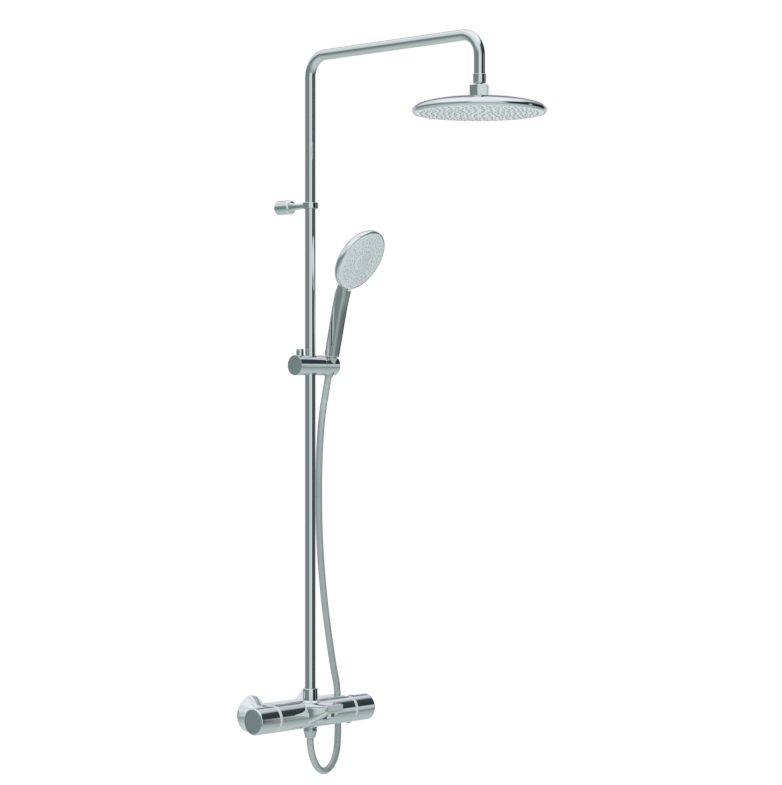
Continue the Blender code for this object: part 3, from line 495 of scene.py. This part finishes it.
# %% Rosettes and union nuts
for side, word in ((-1, "left"), (1, "right")):
    rosette = turned([(0.0345, 0.0848), (0.0345, 0.0830), (0.0338, 0.0819), (0.0240, 0.0700),
                      (0.0214, 0.0668), (0.0182, 0.0638), (0.0165, 0.0612), (0.0157, 0.0597),
                      (0.0150, 0.0594), (0.0108, 0.0594), (0.0108, 0.0608), (0.0146, 0.0608),
                      (0.0229, 0.0706), (0.0328, 0.0835), (0.0328, 0.0848)], closed=True)
    piece(f"rosette_{word}", soften(rosette, 0.00025, 50.0, 2), moulded_chrome, "column",
          [f"escutcheon_{word}"], at(side * INLET_X, AXIS_Y, 0, "Y"))
    nut = merged([(soften(hexagon(0.030, 0.0388, 0.0584), 0.0007, 30, 3), None)],
                 [(turned([(0, 0.030), (0.0128, 0.030), (0.0128, 0.0537), (0.0105, 0.0537),
                           (0.0105, 0.070), (0, 0.070)]), None)])
    piece(f"union_nut_hex_{word}", nut, cast_chrome, "column", [f"union_nut_{word}"],
          at(side * INLET_X, AXIS_Y, 0, "Y"))
print("rosettes and nuts made")

# %% [markdown]
# The knobs run flush with the barrel. A pale satin ring separates each from the body, and the
# right one carries the safety stop: a small red button that has to be pressed to go hotter
# than bath water. The end discs are separate plates with a hair-thin gap around them.

# %% Knobs, rings and caps
def knob(length, slot=None):
    profile = [(BARREL_R, 0.0), (BARREL_R, length - 0.0030), (0.0248, length - 0.0019),
               (0.0242, length - 0.0009), (0.0232, length - 0.0003), (0.0220, length),
               (0.0213, length), (0.0213, length - 0.0026), (0.0046, length - 0.0026),
               (0.0046, length - 0.0062), (0.0022, length - 0.0062), (0.0022, 0.0296),
               (0.0041, 0.0296), (0.0041, 0.0045), (0.0080, 0.0045), (0.0080, 0.0370),
               (0.0222, 0.0370), (0.0222, 0.0)]
    shape = turned(profile, 128, closed=True)
    return merged([(shape, TURNS["X"])], [(slot, None)]) if slot else shape


def end_plate(length):
    return soften(turned([(0, length - 0.0023), (0.0210, length - 0.0023),
                          (0.0210, length - 0.0001), (0, length - 0.0001)], 128), 0.00035)


def stop_ring():
    return soften(turned([(0.0190, 0.0), (BARREL_R, 0.0), (BARREL_R, RING_WIDTH),
                          (0.0190, RING_WIDTH)], 128, closed=True), 0.0005)


piece("flow_knob_shell", knob(KNOB_LENGTH), moulded_chrome, "flow_control", ["flow_knob"],
      at(KNOB_LEFT, AXIS_Y, 0, "-X"))
piece("flow_end_plate", end_plate(KNOB_LENGTH), moulded_chrome, "flow_control",
      ["flow_knob_cap"], at(KNOB_LEFT, AXIS_Y, 0, "-X"))
piece("flow_ring", stop_ring(), satin_ring, "column", ["flow_stop_ring"],
      at(BODY_LEFT - GAP, AXIS_Y, 0, "-X"))
pocket = soften(block((-0.0020, -0.0048, 0.018), (0.0072, 0.0048, 0.030)), 0.0012, 30, 3)
piece("temperature_knob_shell", knob(KNOB_LENGTH, pocket), moulded_chrome,
      "temperature_control", ["temperature_knob"], at(KNOB_RIGHT, AXIS_Y, 0))
piece("temperature_end_plate", end_plate(KNOB_LENGTH), moulded_chrome, "temperature_control",
      ["temperature_knob_cap"], at(KNOB_RIGHT, AXIS_Y, 0, "X"))
lug = soften(block((0.0004, -0.0045, -0.0275), (RING_WIDTH - 0.0004, 0.0045, -0.0235)),
             0.0008, 30, 3)
ring_and_lug = merged([(stop_ring(), TURNS["X"]), (lug, None)])
piece("temperature_ring", ring_and_lug, satin_ring, "column", ["temperature_stop_ring"],
      at(BODY_RIGHT + GAP, AXIS_Y, 0))
button = block((0.0004, -0.0044, -0.0036), (0.0066, 0.0044, 0.0008))
for step in (0.0016, 0.0005):
    tall = step > 0.001
    rims = [e for e in button.edges if e.calc_face_angle(0.0) > 0.7
            and (abs(e.verts[0].co.z - e.verts[1].co.z) > 0.003) == tall]
    bmesh.ops.bevel(button, geom=rims, offset=step, offset_type="OFFSET", segments=4,
                    profile=0.5, affect="EDGES", material=-1)
piece("safety_button_cap", button, safety_red, "safety_stop", ["safety_button"],
      at(KNOB_RIGHT, AXIS_Y, BARREL_R))
print("knobs made")

# %% [markdown]
# The riser is one tube bent twice. A circle is pushed along the straight runs with extrude and
# swung round the bends with spin, the same moves as on a tube bender, so the section stays
# round and the bends are true arcs.

# %% Riser, nuts and collar
def bent_tube():
    bm = bmesh.new()
    ring = bmesh.ops.create_circle(bm, segments=72, radius=RISER_R)
    bmesh.ops.translate(bm, vec=(0, AXIS_Y, 0.0320), verts=ring["verts"])
    rim = list(bm.edges)

    def push(rim, vec):
        made = bmesh.ops.extrude_edge_only(bm, edges=rim)["geom"]
        bmesh.ops.translate(bm, vec=vec,
                            verts=[v for v in made if isinstance(v, bmesh.types.BMVert)])
        return [e for e in made if isinstance(e, bmesh.types.BMEdge)
                and all(v in made for v in e.verts)]

    def swing(rim, centre):
        made = bmesh.ops.spin(bm, geom=rim, cent=centre, axis=(1, 0, 0), angle=math.pi / 2,
                              steps=28, use_merge=False, use_duplicate=False)["geom_last"]
        return [e for e in made if isinstance(e, bmesh.types.BMEdge)]

    rim = push(rim, (0, 0, ARM_Z - BEND_R - 0.0320))
    rim = swing(rim, (0, AXIS_Y - BEND_R, ARM_Z - BEND_R))
    rim = push(rim, (0, -(ARM_REACH - 2 * BEND_R), 0))
    rim = swing(rim, (0, HEAD_Y + BEND_R, ARM_Z - BEND_R))
    push(rim, (0, 0, -(0.0795 - BEND_R)))
    bmesh.ops.remove_doubles(bm, verts=bm.verts, dist=1e-6)
    bmesh.ops.holes_fill(bm, edges=[e for e in bm.edges if e.is_boundary])
    bmesh.ops.recalc_face_normals(bm, faces=bm.faces)
    return bm


piece("riser_bent_tube", bent_tube(), tube_chrome, "column", ["riser_tube"])
riser_nut = turned([(0.0103, 0.0283), (0.0136, 0.0283), (0.0140, 0.0287), (0.0140, 0.0476),
                    (0.0136, 0.0486), (0.0128, 0.0492), (0.0103, 0.0492)], closed=True)
piece("riser_nut_round", riser_nut, cast_chrome, "column", ["riser_nut"], here)
hose_nut = turned([(0.0081, -0.0276), (0.0126, -0.0276), (0.0130, -0.0280), (0.0130, -0.0310),
                   (0.0127, -0.0318), (0.0099, -0.0434), (0.0094, -0.0445), (0.0086, -0.0448),
                   (0.0066, -0.0448), (0.0045, -0.0448), (0.0045, -0.0398), (0.0081, -0.0398)],
                  closed=True)
piece("hose_cone_nut", hose_nut, cast_chrome, "column", ["hose_lower_nut"], here)
collar = turned([(0.0103, -0.0730), (0.0110, -0.0730), (0.0115, -0.0736), (0.0115, -0.0872),
                 (0.0113, -0.0884), (0.0106, -0.0897), (0.0098, -0.0900), (0.0055, -0.0900),
                 (0.0055, -0.0800), (0.0103, -0.0800)], closed=True)
piece("drop_collar", collar, cast_chrome, "column", ["swivel_collar"], at(0, HEAD_Y, ARM_Z))
stem = [(0.0030, 0.0240), (0.0050, 0.0240), (0.0050, 0.0108)]
stem += [(0.0109 * math.cos(math.radians(a)), 0.0109 * math.sin(math.radians(a)))
         for a in range(62, -63, -6)] + [(0.0030, -0.0097)]
piece("ball_and_stem", turned(stem, 64, closed=True), tube_chrome, "column", ["ball_stem"],
      at(0, HEAD_Y, BALL_Z))
print("riser made")

# %% [markdown]
# The upper wall bracket is a split ring on a slim waisted arm that ends in a round foot. The
# arm is lofted through a few rounded sections and united with the ring and the foot.

# %% Wall bracket
foot = soften(turned([(0, 0.0500), (0.0090, 0.0500), (0.0120, 0.0513), (0.0133, 0.0535),
                      (0.0135, 0.0560), (0.0135, 0.0848), (0.0117, 0.0848), (0.0117, 0.0700),
                      (0, 0.0700)]), 0.0003, 60, 2)
arm_rows = [(0.0060, 0.0100, 0.0055), (0.0130, 0.0078, 0.0051), (0.0200, 0.0060, 0.0049),
            (0.0290, 0.0056, 0.0051), (0.0380, 0.0060, 0.0060), (0.0450, 0.0072, 0.0074),
            (0.0500, 0.0084, 0.0085), (0.0560, 0.0096, 0.0096)]
bracket_arm = loft([((0, y, 0), x, z, -math.pi / 2) for y, x, z in arm_rows], 40)
ring_shape = soften(turned([(0, -0.0058), (0.0150, -0.0058), (0.0150, 0.0058), (0, 0.0058)]),
                    0.0009)
bracket = merged([(ring_shape, None), (bracket_arm, None), (foot, TURNS["Y"])],
                 [(turned([(0, -0.01), (0.0121, -0.01), (0.0121, 0.01), (0, 0.01)]), None)])
piece("wall_bracket", bracket, moulded_chrome, "column", ["bracket_body"],
      at(0, AXIS_Y, BRACKET_Z))
print("bracket made")

# %% [markdown]
# The rain head is a shallow plated dome with a pale spray plate set into it. Rings of soft
# silicone nozzles poke through the plate, so that lime can be rubbed off with a thumb. One
# nozzle is turned and copied round each ring, which keeps all of them the same.

# %% Nozzles
def nozzle(radius, height, sides=10):
    return turned([(0, -0.0004), (radius, -0.0004), (radius * 0.92, height * 0.35),
                   (radius * 0.62, height * 0.86), (radius * 0.50, height),
                   (radius * 0.30, height), (radius * 0.26, height * 0.7),
                   (0, height * 0.7)], sides)


def nozzle_field(places):
    """Copies of a nozzle, each at (x, y, z, radius, height), as one mesh."""
    field = bmesh.new()
    for x, y, z, radius, height in places:
        one = nozzle(radius, height)
        bmesh.ops.translate(one, vec=(x, y, z), verts=one.verts)
        holder = bpy.data.meshes.new("one_nozzle")
        one.to_mesh(holder)
        one.free()
        field.from_mesh(holder)
        bpy.data.meshes.remove(holder)
    return field


def ring_of(radius, count, start=0.0):
    return [(radius * math.cos(start + 2 * math.pi * i / count),
             radius * math.sin(start + 2 * math.pi * i / count)) for i in range(count)]


# %% Rain head
ball = at(0, HEAD_Y, BALL_Z)
top = -0.0086
nut_shape = soften(hexagon(0.0320, -0.0082, 0.0120), 0.0008, 30, 3)
piece("head_ball_nut", merged([(nut_shape, None)],
      [(turned([(0, -0.020), (0.0117, -0.020), (0.0117, 0.0010), (0.0102, 0.0052),
                (0.0102, 0.020), (0, 0.020)]), None)]), cast_chrome, "rain_head",
      ["ball_nut"], ball)
dome = [(0.0122, top), (0.0300, top - 0.0010), (0.0600, top - 0.0036), (0.0800, top - 0.0064),
        (0.0950, top - 0.0093), (0.1060, top - 0.0124), (0.1130, top - 0.0153),
        (0.1176, top - 0.0187), (0.1196, top - 0.0215), (HEAD_R, top - 0.0236),
        (0.1194, top - 0.0262), (0.1180, top - 0.0282), (0.1164, top - 0.0293),
        (0.1155, top - 0.0294)]
under = [(0.1155, top - 0.0276), (0.1172, top - 0.0232), (0.1150, top - 0.0192),
         (0.1100, top - 0.0161), (0.0930, top - 0.0106), (0.0600, top - 0.0051),
         (0.0122, top - 0.0014)]
piece("head_dome", turned(dome + under, 192, closed=True), moulded_chrome, "rain_head",
      ["head_shell"], ball)
low = top - 0.0294
plate = soften(turned([(0, low + 0.0004), (0.1150, low + 0.0004), (0.1150, low + 0.0023),
                       (0, low + 0.0023)], 192), 0.0005)
piece("head_plate", plate, spray_white, "rain_head", ["head_spray_plate"], ball)
counts = [6, 12, 16, 20, 24, 28, 32, 36, 42, 48]
tips = [(0.0, 0.0)]
for index, count in enumerate(counts):
    tips += ring_of(0.0140 + 0.0100 * index, count, 0.11 * index)
tip_field = nozzle_field([(x, y, 0, 0.0018, 0.0020) for x, y in tips])
bmesh.ops.rotate(tip_field, verts=tip_field.verts, cent=(0, 0, 0),
                 matrix=Matrix.Rotation(math.pi, 3, "X"))
bmesh.ops.translate(tip_field, verts=tip_field.verts, vec=(0, 0, low + 0.0004))
piece("head_nozzles", tip_field, nozzle_silicone, "rain_head", ["head_nozzle_mat"], ball)
print("rain head nozzles", len(tips))

# %% [markdown]
# The slider is a plain cylinder lying across the riser. Its left end carries the release
# button, its right end is a separate holder that tilts on a short axle, with a tapered seat for
# the hose's cone nut.

# %% Slider and holder
centre = at(0, AXIS_Y, SLIDER_Z)
slider_shape = merged(
    [(soften(turned([(0, SLIDER_LEFT), (SLIDER_R, SLIDER_LEFT), (SLIDER_R, SLIDER_SEAM),
                     (0, SLIDER_SEAM)], 128), 0.0004), TURNS["X"])],
    [(turned([(0, -0.03), (0.0121, -0.03), (0.0121, 0.03), (0, 0.03)]), None),
     (turned([(0, -0.0070), (0.0076, -0.0070), (0.0076, 0.03), (0, 0.03)], 48),
      at(BUTTON_X, 0, 0)),
     (turned([(0, 0.0138), (0.0053, 0.0138), (0.0053, 0.04), (0, 0.04)], 48), TURNS["X"])])
piece("slider_barrel", slider_shape, moulded_chrome, "slider", ["slider_body"], centre)
release = turned([(0, 0.0090), (0.0072, 0.0090), (0.0072, 0.0225), (0.0069, 0.0290),
                  (0.0065, 0.0304), (0.0057, 0.0310), (0.0030, 0.0312), (0, 0.0312)], 64)
piece("slider_release_cap", release, moulded_chrome, "slider_release", ["slider_button"],
      at(BUTTON_X, AXIS_Y, SLIDER_Z))
seat_local = Matrix.Translation(SEAT - Vector((0, AXIS_Y, SLIDER_Z))) @ LEAN.to_4x4()
holder_shape = merged(
    [(soften(turned([(0, SLIDER_SEAM + 0.0004), (SLIDER_R, SLIDER_SEAM + 0.0004),
                     (SLIDER_R, SLIDER_RIGHT), (0, SLIDER_RIGHT)], 128), 0.0006), TURNS["X"])],
    [(turned([(0, -0.030), (0.0091, -0.030), (0.0091, -0.0200), (0.0121, 0.0200),
              (0.0121, 0.030), (0, 0.030)]), seat_local),
     (turned([(0, 0.0200), (0.0053, 0.0200), (0.0053, 0.0322), (0, 0.0322)], 48), TURNS["X"]),
     (turned([(0, 0.0200), (0.0125, 0.0200), (0.0125, 0.0286), (0, 0.0286)], 64), TURNS["X"])])
piece("holder_barrel", holder_shape, moulded_chrome, "holder", ["holder_socket"], centre)
upper_nut = turned([(0.0078, 0.0184), (0.0109, 0.0184), (0.0113, 0.0180), (0.0086, -0.0186),
                    (0.0082, -0.0195), (0.0045, -0.0195), (0.0045, 0.0004), (0.0078, 0.0004)],
                   closed=True)
piece("handset_cone_nut", upper_nut, cast_chrome, "handset", ["hose_upper_nut"], HANDLE)
print("slider and holder made")

# %% [markdown]
# The handset has a rounded square grip that flattens and bends forward into a shallow bowl.
# The grip is a loft whose sections are eased between a few stations, and the bowl is turned;
# the two are united because on the real one they are one moulding.

# %% Handset
stations = np.array([(0.0195, 0.0000, 0.0112, 0.0102, 0), (0.0203, 0.0000, 0.0120, 0.0108, 0),
                     (0.0218, 0.0000, 0.0124, 0.0110, 0), (0.0600, 0.0000, 0.0126, 0.0111, 0),
                     (0.1110, 0.0000, 0.0128, 0.0112, 2), (0.1395, -0.0012, 0.0130, 0.0112, 6),
                     (0.1515, -0.0030, 0.0134, 0.0100, 12),
                     (0.1615, -0.0052, 0.0142, 0.0078, 16),
                     (0.1735, -0.0102, 0.0150, 0.0060, 20),
                     (0.1875, -0.0148, 0.0150, 0.0050, 20)])


def eased(stations, steps):
    """More stations between the given ones, on a smooth curve through all of them."""
    out = []
    last = len(stations) - 1
    for i in range(last):
        p0, p1 = stations[max(i - 1, 0)], stations[i]
        p2, p3 = stations[i + 1], stations[min(i + 2, last)]
        for k in range(steps):
            t = k / steps
            h1, h2 = (p2 - p0) / 2, (p3 - p1) / 2
            if i < 3:
                h1 = h2 = p2 - p1
            out.append((2 * t**3 - 3 * t**2 + 1) * p1 + (t**3 - 2 * t**2 + t) * h1
                       + (3 * t**2 - 2 * t**3) * p2 + (t**3 - t**2) * h2)
    return out + [stations[-1]]


grip = loft([(Vector((0, y, z)), x_half, y_half, math.radians(bend))
             for z, y, x_half, y_half, bend in eased(stations, 4)], power=0.42)
face_place = Matrix.Translation((0, -0.0327, 0.2105)) \
    @ Matrix.Rotation(FACE_TILT - HANDLE_LEAN + math.pi / 2, 4, "X")
bowl = turned([(0, -0.0205), (0.0150, -0.0205), (0.0300, -0.0202), (0.0440, -0.0191),
               (0.0495, -0.0180), (0.0540, -0.0162), (0.0577, -0.0137), (0.0602, -0.0107),
               (0.0618, -0.0073), (0.0625, -0.0038), (0.0622, -0.0016), (0.0614, -0.0003),
               (0.0605, 0.0000), (0.0599, -0.0003), (0.0599, -0.0022), (0, -0.0022)], 144)
handset_shape = merged([(grip, None), (bowl, face_place)],
                       [(turned([(0, 0.010), (0.0078, 0.010), (0.0078, 0.0430), (0, 0.0430)], 48),
                         None)])
piece("handset_moulding", handset_shape, moulded_chrome, "handset", ["handset_body"], HANDLE,
      sharp=32.0)
print("handset body made")

# %% [markdown]
# The spray face turns a little by its tab to change the jet. It is a pale plate, slightly
# crowned, with rays of nozzles and a finer patch of holes in its middle.

# %% Spray face
on_face = HANDLE @ face_place
face_disc = turned([(0, -0.0018), (FACE_R - 0.0003, -0.0018), (FACE_R, -0.0012),
                    (FACE_R - 0.0002, -0.0002), (FACE_R - 0.0007, 0.0002), (0.0500, 0.0006),
                    (0.0480, 0.0003), (0.0200, 0.0005), (0.0168, 0.0005), (0.0160, 0.0010),
                    (0.0080, 0.0012), (0, 0.0012)], 144)
piece("spray_face_plate", face_disc, spray_white, "spray_selector", ["handset_spray_face"],
      on_face)
dots = []
for ray in range(24):
    for index, radius in enumerate((0.0215, 0.0300, 0.0385, 0.0465)):
        turn = 2 * math.pi * ray / 24
        dots.append((radius * math.cos(turn), radius * math.sin(turn), 0.0003,
                     0.0013 + 0.0001 * index, 0.0011))
dots += [(x, y, 0.0011, 0.0008, 0.0007) for radius, count in ((0.0045, 6), (0.0085, 12),
                                                              (0.0125, 18))
         for x, y in ring_of(radius, count)]
piece("spray_face_nozzles", nozzle_field(dots), nozzle_silicone, "spray_selector", (), on_face)
tab = block((-0.0045, -0.0640, 0.0004), (0.0045, -0.0545, 0.0034))
uprights = [e for e in tab.edges if abs(e.verts[0].co.z - e.verts[1].co.z) > 0.002]
bmesh.ops.bevel(tab, geom=uprights, offset=0.0020, offset_type="OFFSET", segments=5,
                profile=0.5, affect="EDGES", material=-1)
piece("selector_tab", soften(tab, 0.0006), spray_white, "spray_selector",
      ["spray_selector_tab"], on_face)
print("face nozzles", len(dots))

# %% [markdown]
# Chrome shows the room more than itself, so the light is designed as much as the object. The
# room here is a soft pale tent: bright above, grey below and on the left, and a black flag on
# the right that draws the dark line down every tube. A strip of pale paper low beside the flag
# keeps the fronts of the level barrels light. All of it is painted on the sky by direction, and
# the camera itself sees plain white. The two softboxes and the floor light the dull pieces but
# are left out of the reflections.

# %% Studio
def ramp(tree, source, stops):
    node = tree.nodes.new("ShaderNodeValToRGB")
    node.color_ramp.elements.remove(node.color_ramp.elements[0])
    first = node.color_ramp.elements[0]
    first.position, first.color = stops[0][0], (*stops[0][1], 1.0)
    for position, colour in stops[1:]:
        node.color_ramp.elements.new(position).color = (*colour, 1.0)
    tree.links.new(source, node.inputs["Fac"])
    return node.outputs["Color"]


sky = bpy.data.worlds.new("studio_tent")
bpy.context.scene.world = sky
sky.use_nodes = True
tree = sky.node_tree
tree.nodes.clear()
direction = tree.nodes.new("ShaderNodeTexCoord")
level = tree.nodes.new("ShaderNodeMapping")
level.vector_type = "NORMAL"
level.inputs["Rotation"].default_value = (0, 0, math.radians(46.5))
tree.links.new(direction.outputs["Generated"], level.inputs["Vector"])
parts = tree.nodes.new("ShaderNodeSeparateXYZ")
tree.links.new(level.outputs["Vector"], parts.inputs["Vector"])


def unit(socket):
    """Bring a direction's component from -1..1 to 0..1."""
    node = tree.nodes.new("ShaderNodeMapRange")
    node.inputs["From Min"].default_value = -1.0
    tree.links.new(socket, node.inputs["Value"])
    return node.outputs["Result"]


def blended(fac, a, b):
    node = tree.nodes.new("ShaderNodeMix")
    node.data_type = "RGBA"
    tree.links.new(fac, node.inputs[0])
    tree.links.new(a, node.inputs[6])
    tree.links.new(b, node.inputs[7])
    return node.outputs[2]


# Each part of a direction, from 0 to 1: to the camera's right, away from the camera, and up.
to_right, away, up = (unit(parts.outputs[axis]) for axis in "XYZ")
none, full = (0, 0, 0), (1, 1, 1)
pale, grey, black = (0.72, 0.78, 0.77), (0.20, 0.25, 0.25), (0.012, 0.018, 0.02)

# The walls of the tent, on the camera's side and behind the object.
across = ramp(tree, to_right,
              [(0.0, grey), (0.30, grey), (0.42, pale), (0.80, pale), (0.88, black), (1.0, black)])
behind = ramp(tree, to_right,
              [(0.0, grey), (0.35, (0.35, 0.40, 0.40)), (0.55, (0.16, 0.2, 0.2)), (0.7, black),
               (1.0, black)])
side = ramp(tree, away, [(0.48, none), (0.54, full)])
ring = blended(side, across, behind)

# The upper part, what stands straight ahead, and the glow from the floor.
above = ramp(tree, up,
             [(0.0, none), (0.60, none), (0.70, full), (1.0, full)])
upper = ramp(tree, to_right,
             [(0.0, (0.70, 0.74, 0.78)), (0.42, (0.80, 0.82, 0.88)), (0.68, (0.74, 0.76, 0.84)),
              (0.76, (0.30, 0.33, 0.36)), (0.82, (0.05, 0.06, 0.07)), (0.97, (0.03, 0.04, 0.05)),
              (1.0, (0.30, 0.33, 0.34))])
ahead = ramp(tree, up,
             [(0.0, (0.45, 0.48, 0.48)), (0.40, (0.62, 0.64, 0.70)), (0.64, (0.75, 0.76, 0.85)),
              (0.69, (0.10, 0.11, 0.13)), (0.84, (0.12, 0.13, 0.15)), (0.90, (0.8, 0.8, 0.85))])
facing = ramp(tree, away, [(0.86, none), (0.95, full)])
below = ramp(tree, up,
             [(0.0, full), (0.35, full), (0.42, none), (1.0, none)])
floor_glow = ramp(tree, up,
                  [(0.0, (0.66, 0.70, 0.71)), (0.08, (0.60, 0.65, 0.66)),
                   (0.30, (0.36, 0.42, 0.41)), (0.42, (0.20, 0.24, 0.24))])
room = blended(below, blended(above, ring, upper), floor_glow)
room = blended(facing, room, ahead)

# The strip of pale paper: a mask of three ramps, and its colour.
strip = ramp(tree, away,
             [(0.485, none), (0.51, full), (0.56, full), (0.58, none)])
right = ramp(tree, to_right, [(0.88, none), (0.93, full)])
low_part = ramp(tree, up,
                [(0.36, none), (0.42, full), (0.57, full), (0.62, none)])
paper = ramp(tree, up,
             [(0.40, (0.42, 0.47, 0.47)), (0.56, (0.64, 0.70, 0.71))])
no_paper = ramp(tree, up, [(0.0, none), (1.0, none)])
patch = blended(low_part, no_paper, blended(right, no_paper, strip))
room = blended(patch, room, paper)

# The light straight above.
zenith = ramp(tree, up, [(0.84, none), (0.90, full)])
ceiling = ramp(tree, up, [(0.0, full), (1.0, (0.95, 0.95, 1.0))])
room = blended(zenith, room, ceiling)

glow = tree.nodes.new("ShaderNodeBackground")
tree.links.new(room, glow.inputs["Color"])
glow.inputs["Strength"].default_value = 1.0
plain = tree.nodes.new("ShaderNodeBackground")
plain.inputs["Color"].default_value = (1, 1, 1, 1)
plain.inputs["Strength"].default_value = 1.0
seen = tree.nodes.new("ShaderNodeLightPath")
choose = tree.nodes.new("ShaderNodeMixShader")
out = tree.nodes.new("ShaderNodeOutputWorld")
tree.links.new(seen.outputs["Is Camera Ray"], choose.inputs["Fac"])
tree.links.new(glow.outputs["Background"], choose.inputs[1])
tree.links.new(plain.outputs["Background"], choose.inputs[2])
tree.links.new(choose.outputs["Shader"], out.inputs["Surface"])


def softbox(name, place, aim, size, power):
    lamp = bpy.data.lights.new(name, "AREA")
    lamp.shape, lamp.size, lamp.size_y, lamp.energy = "RECTANGLE", size[0], size[1], power
    obj = bpy.data.objects.new(name, lamp)
    obj.location = place
    obj.rotation_euler = (Vector(aim) - Vector(place)).to_track_quat("-Z", "Y").to_euler()
    obj.visible_glossy = False
    bpy.context.scene.collection.objects.link(obj)
    return obj


softbox("key_light", (-2.6, -1.6, 2.4), (0, -0.2, 0.7), (1.2, 1.8), 45)
softbox("under_light", (-0.6, -1.8, -0.9), (0, -0.4, 1.0), (1.4, 1.0), 22)

floor_mesh = bmesh.new()
bmesh.ops.create_circle(floor_mesh, cap_ends=True, segments=96, radius=0.9)
floor = bare("studio_floor", floor_mesh, at(0, -0.25, -0.30))
floor_paint, floor_tree, floor_shader = new_finish("floor_paper", (0.86, 0.87, 0.87), 0.0, 0.8)
vary(floor_tree, noise(floor_tree, 6.0), floor_shader.inputs["Roughness"], 0.75, 0.85)
floor.data.materials.append(floor_paint)
floor.visible_glossy = False
print("studio ready")
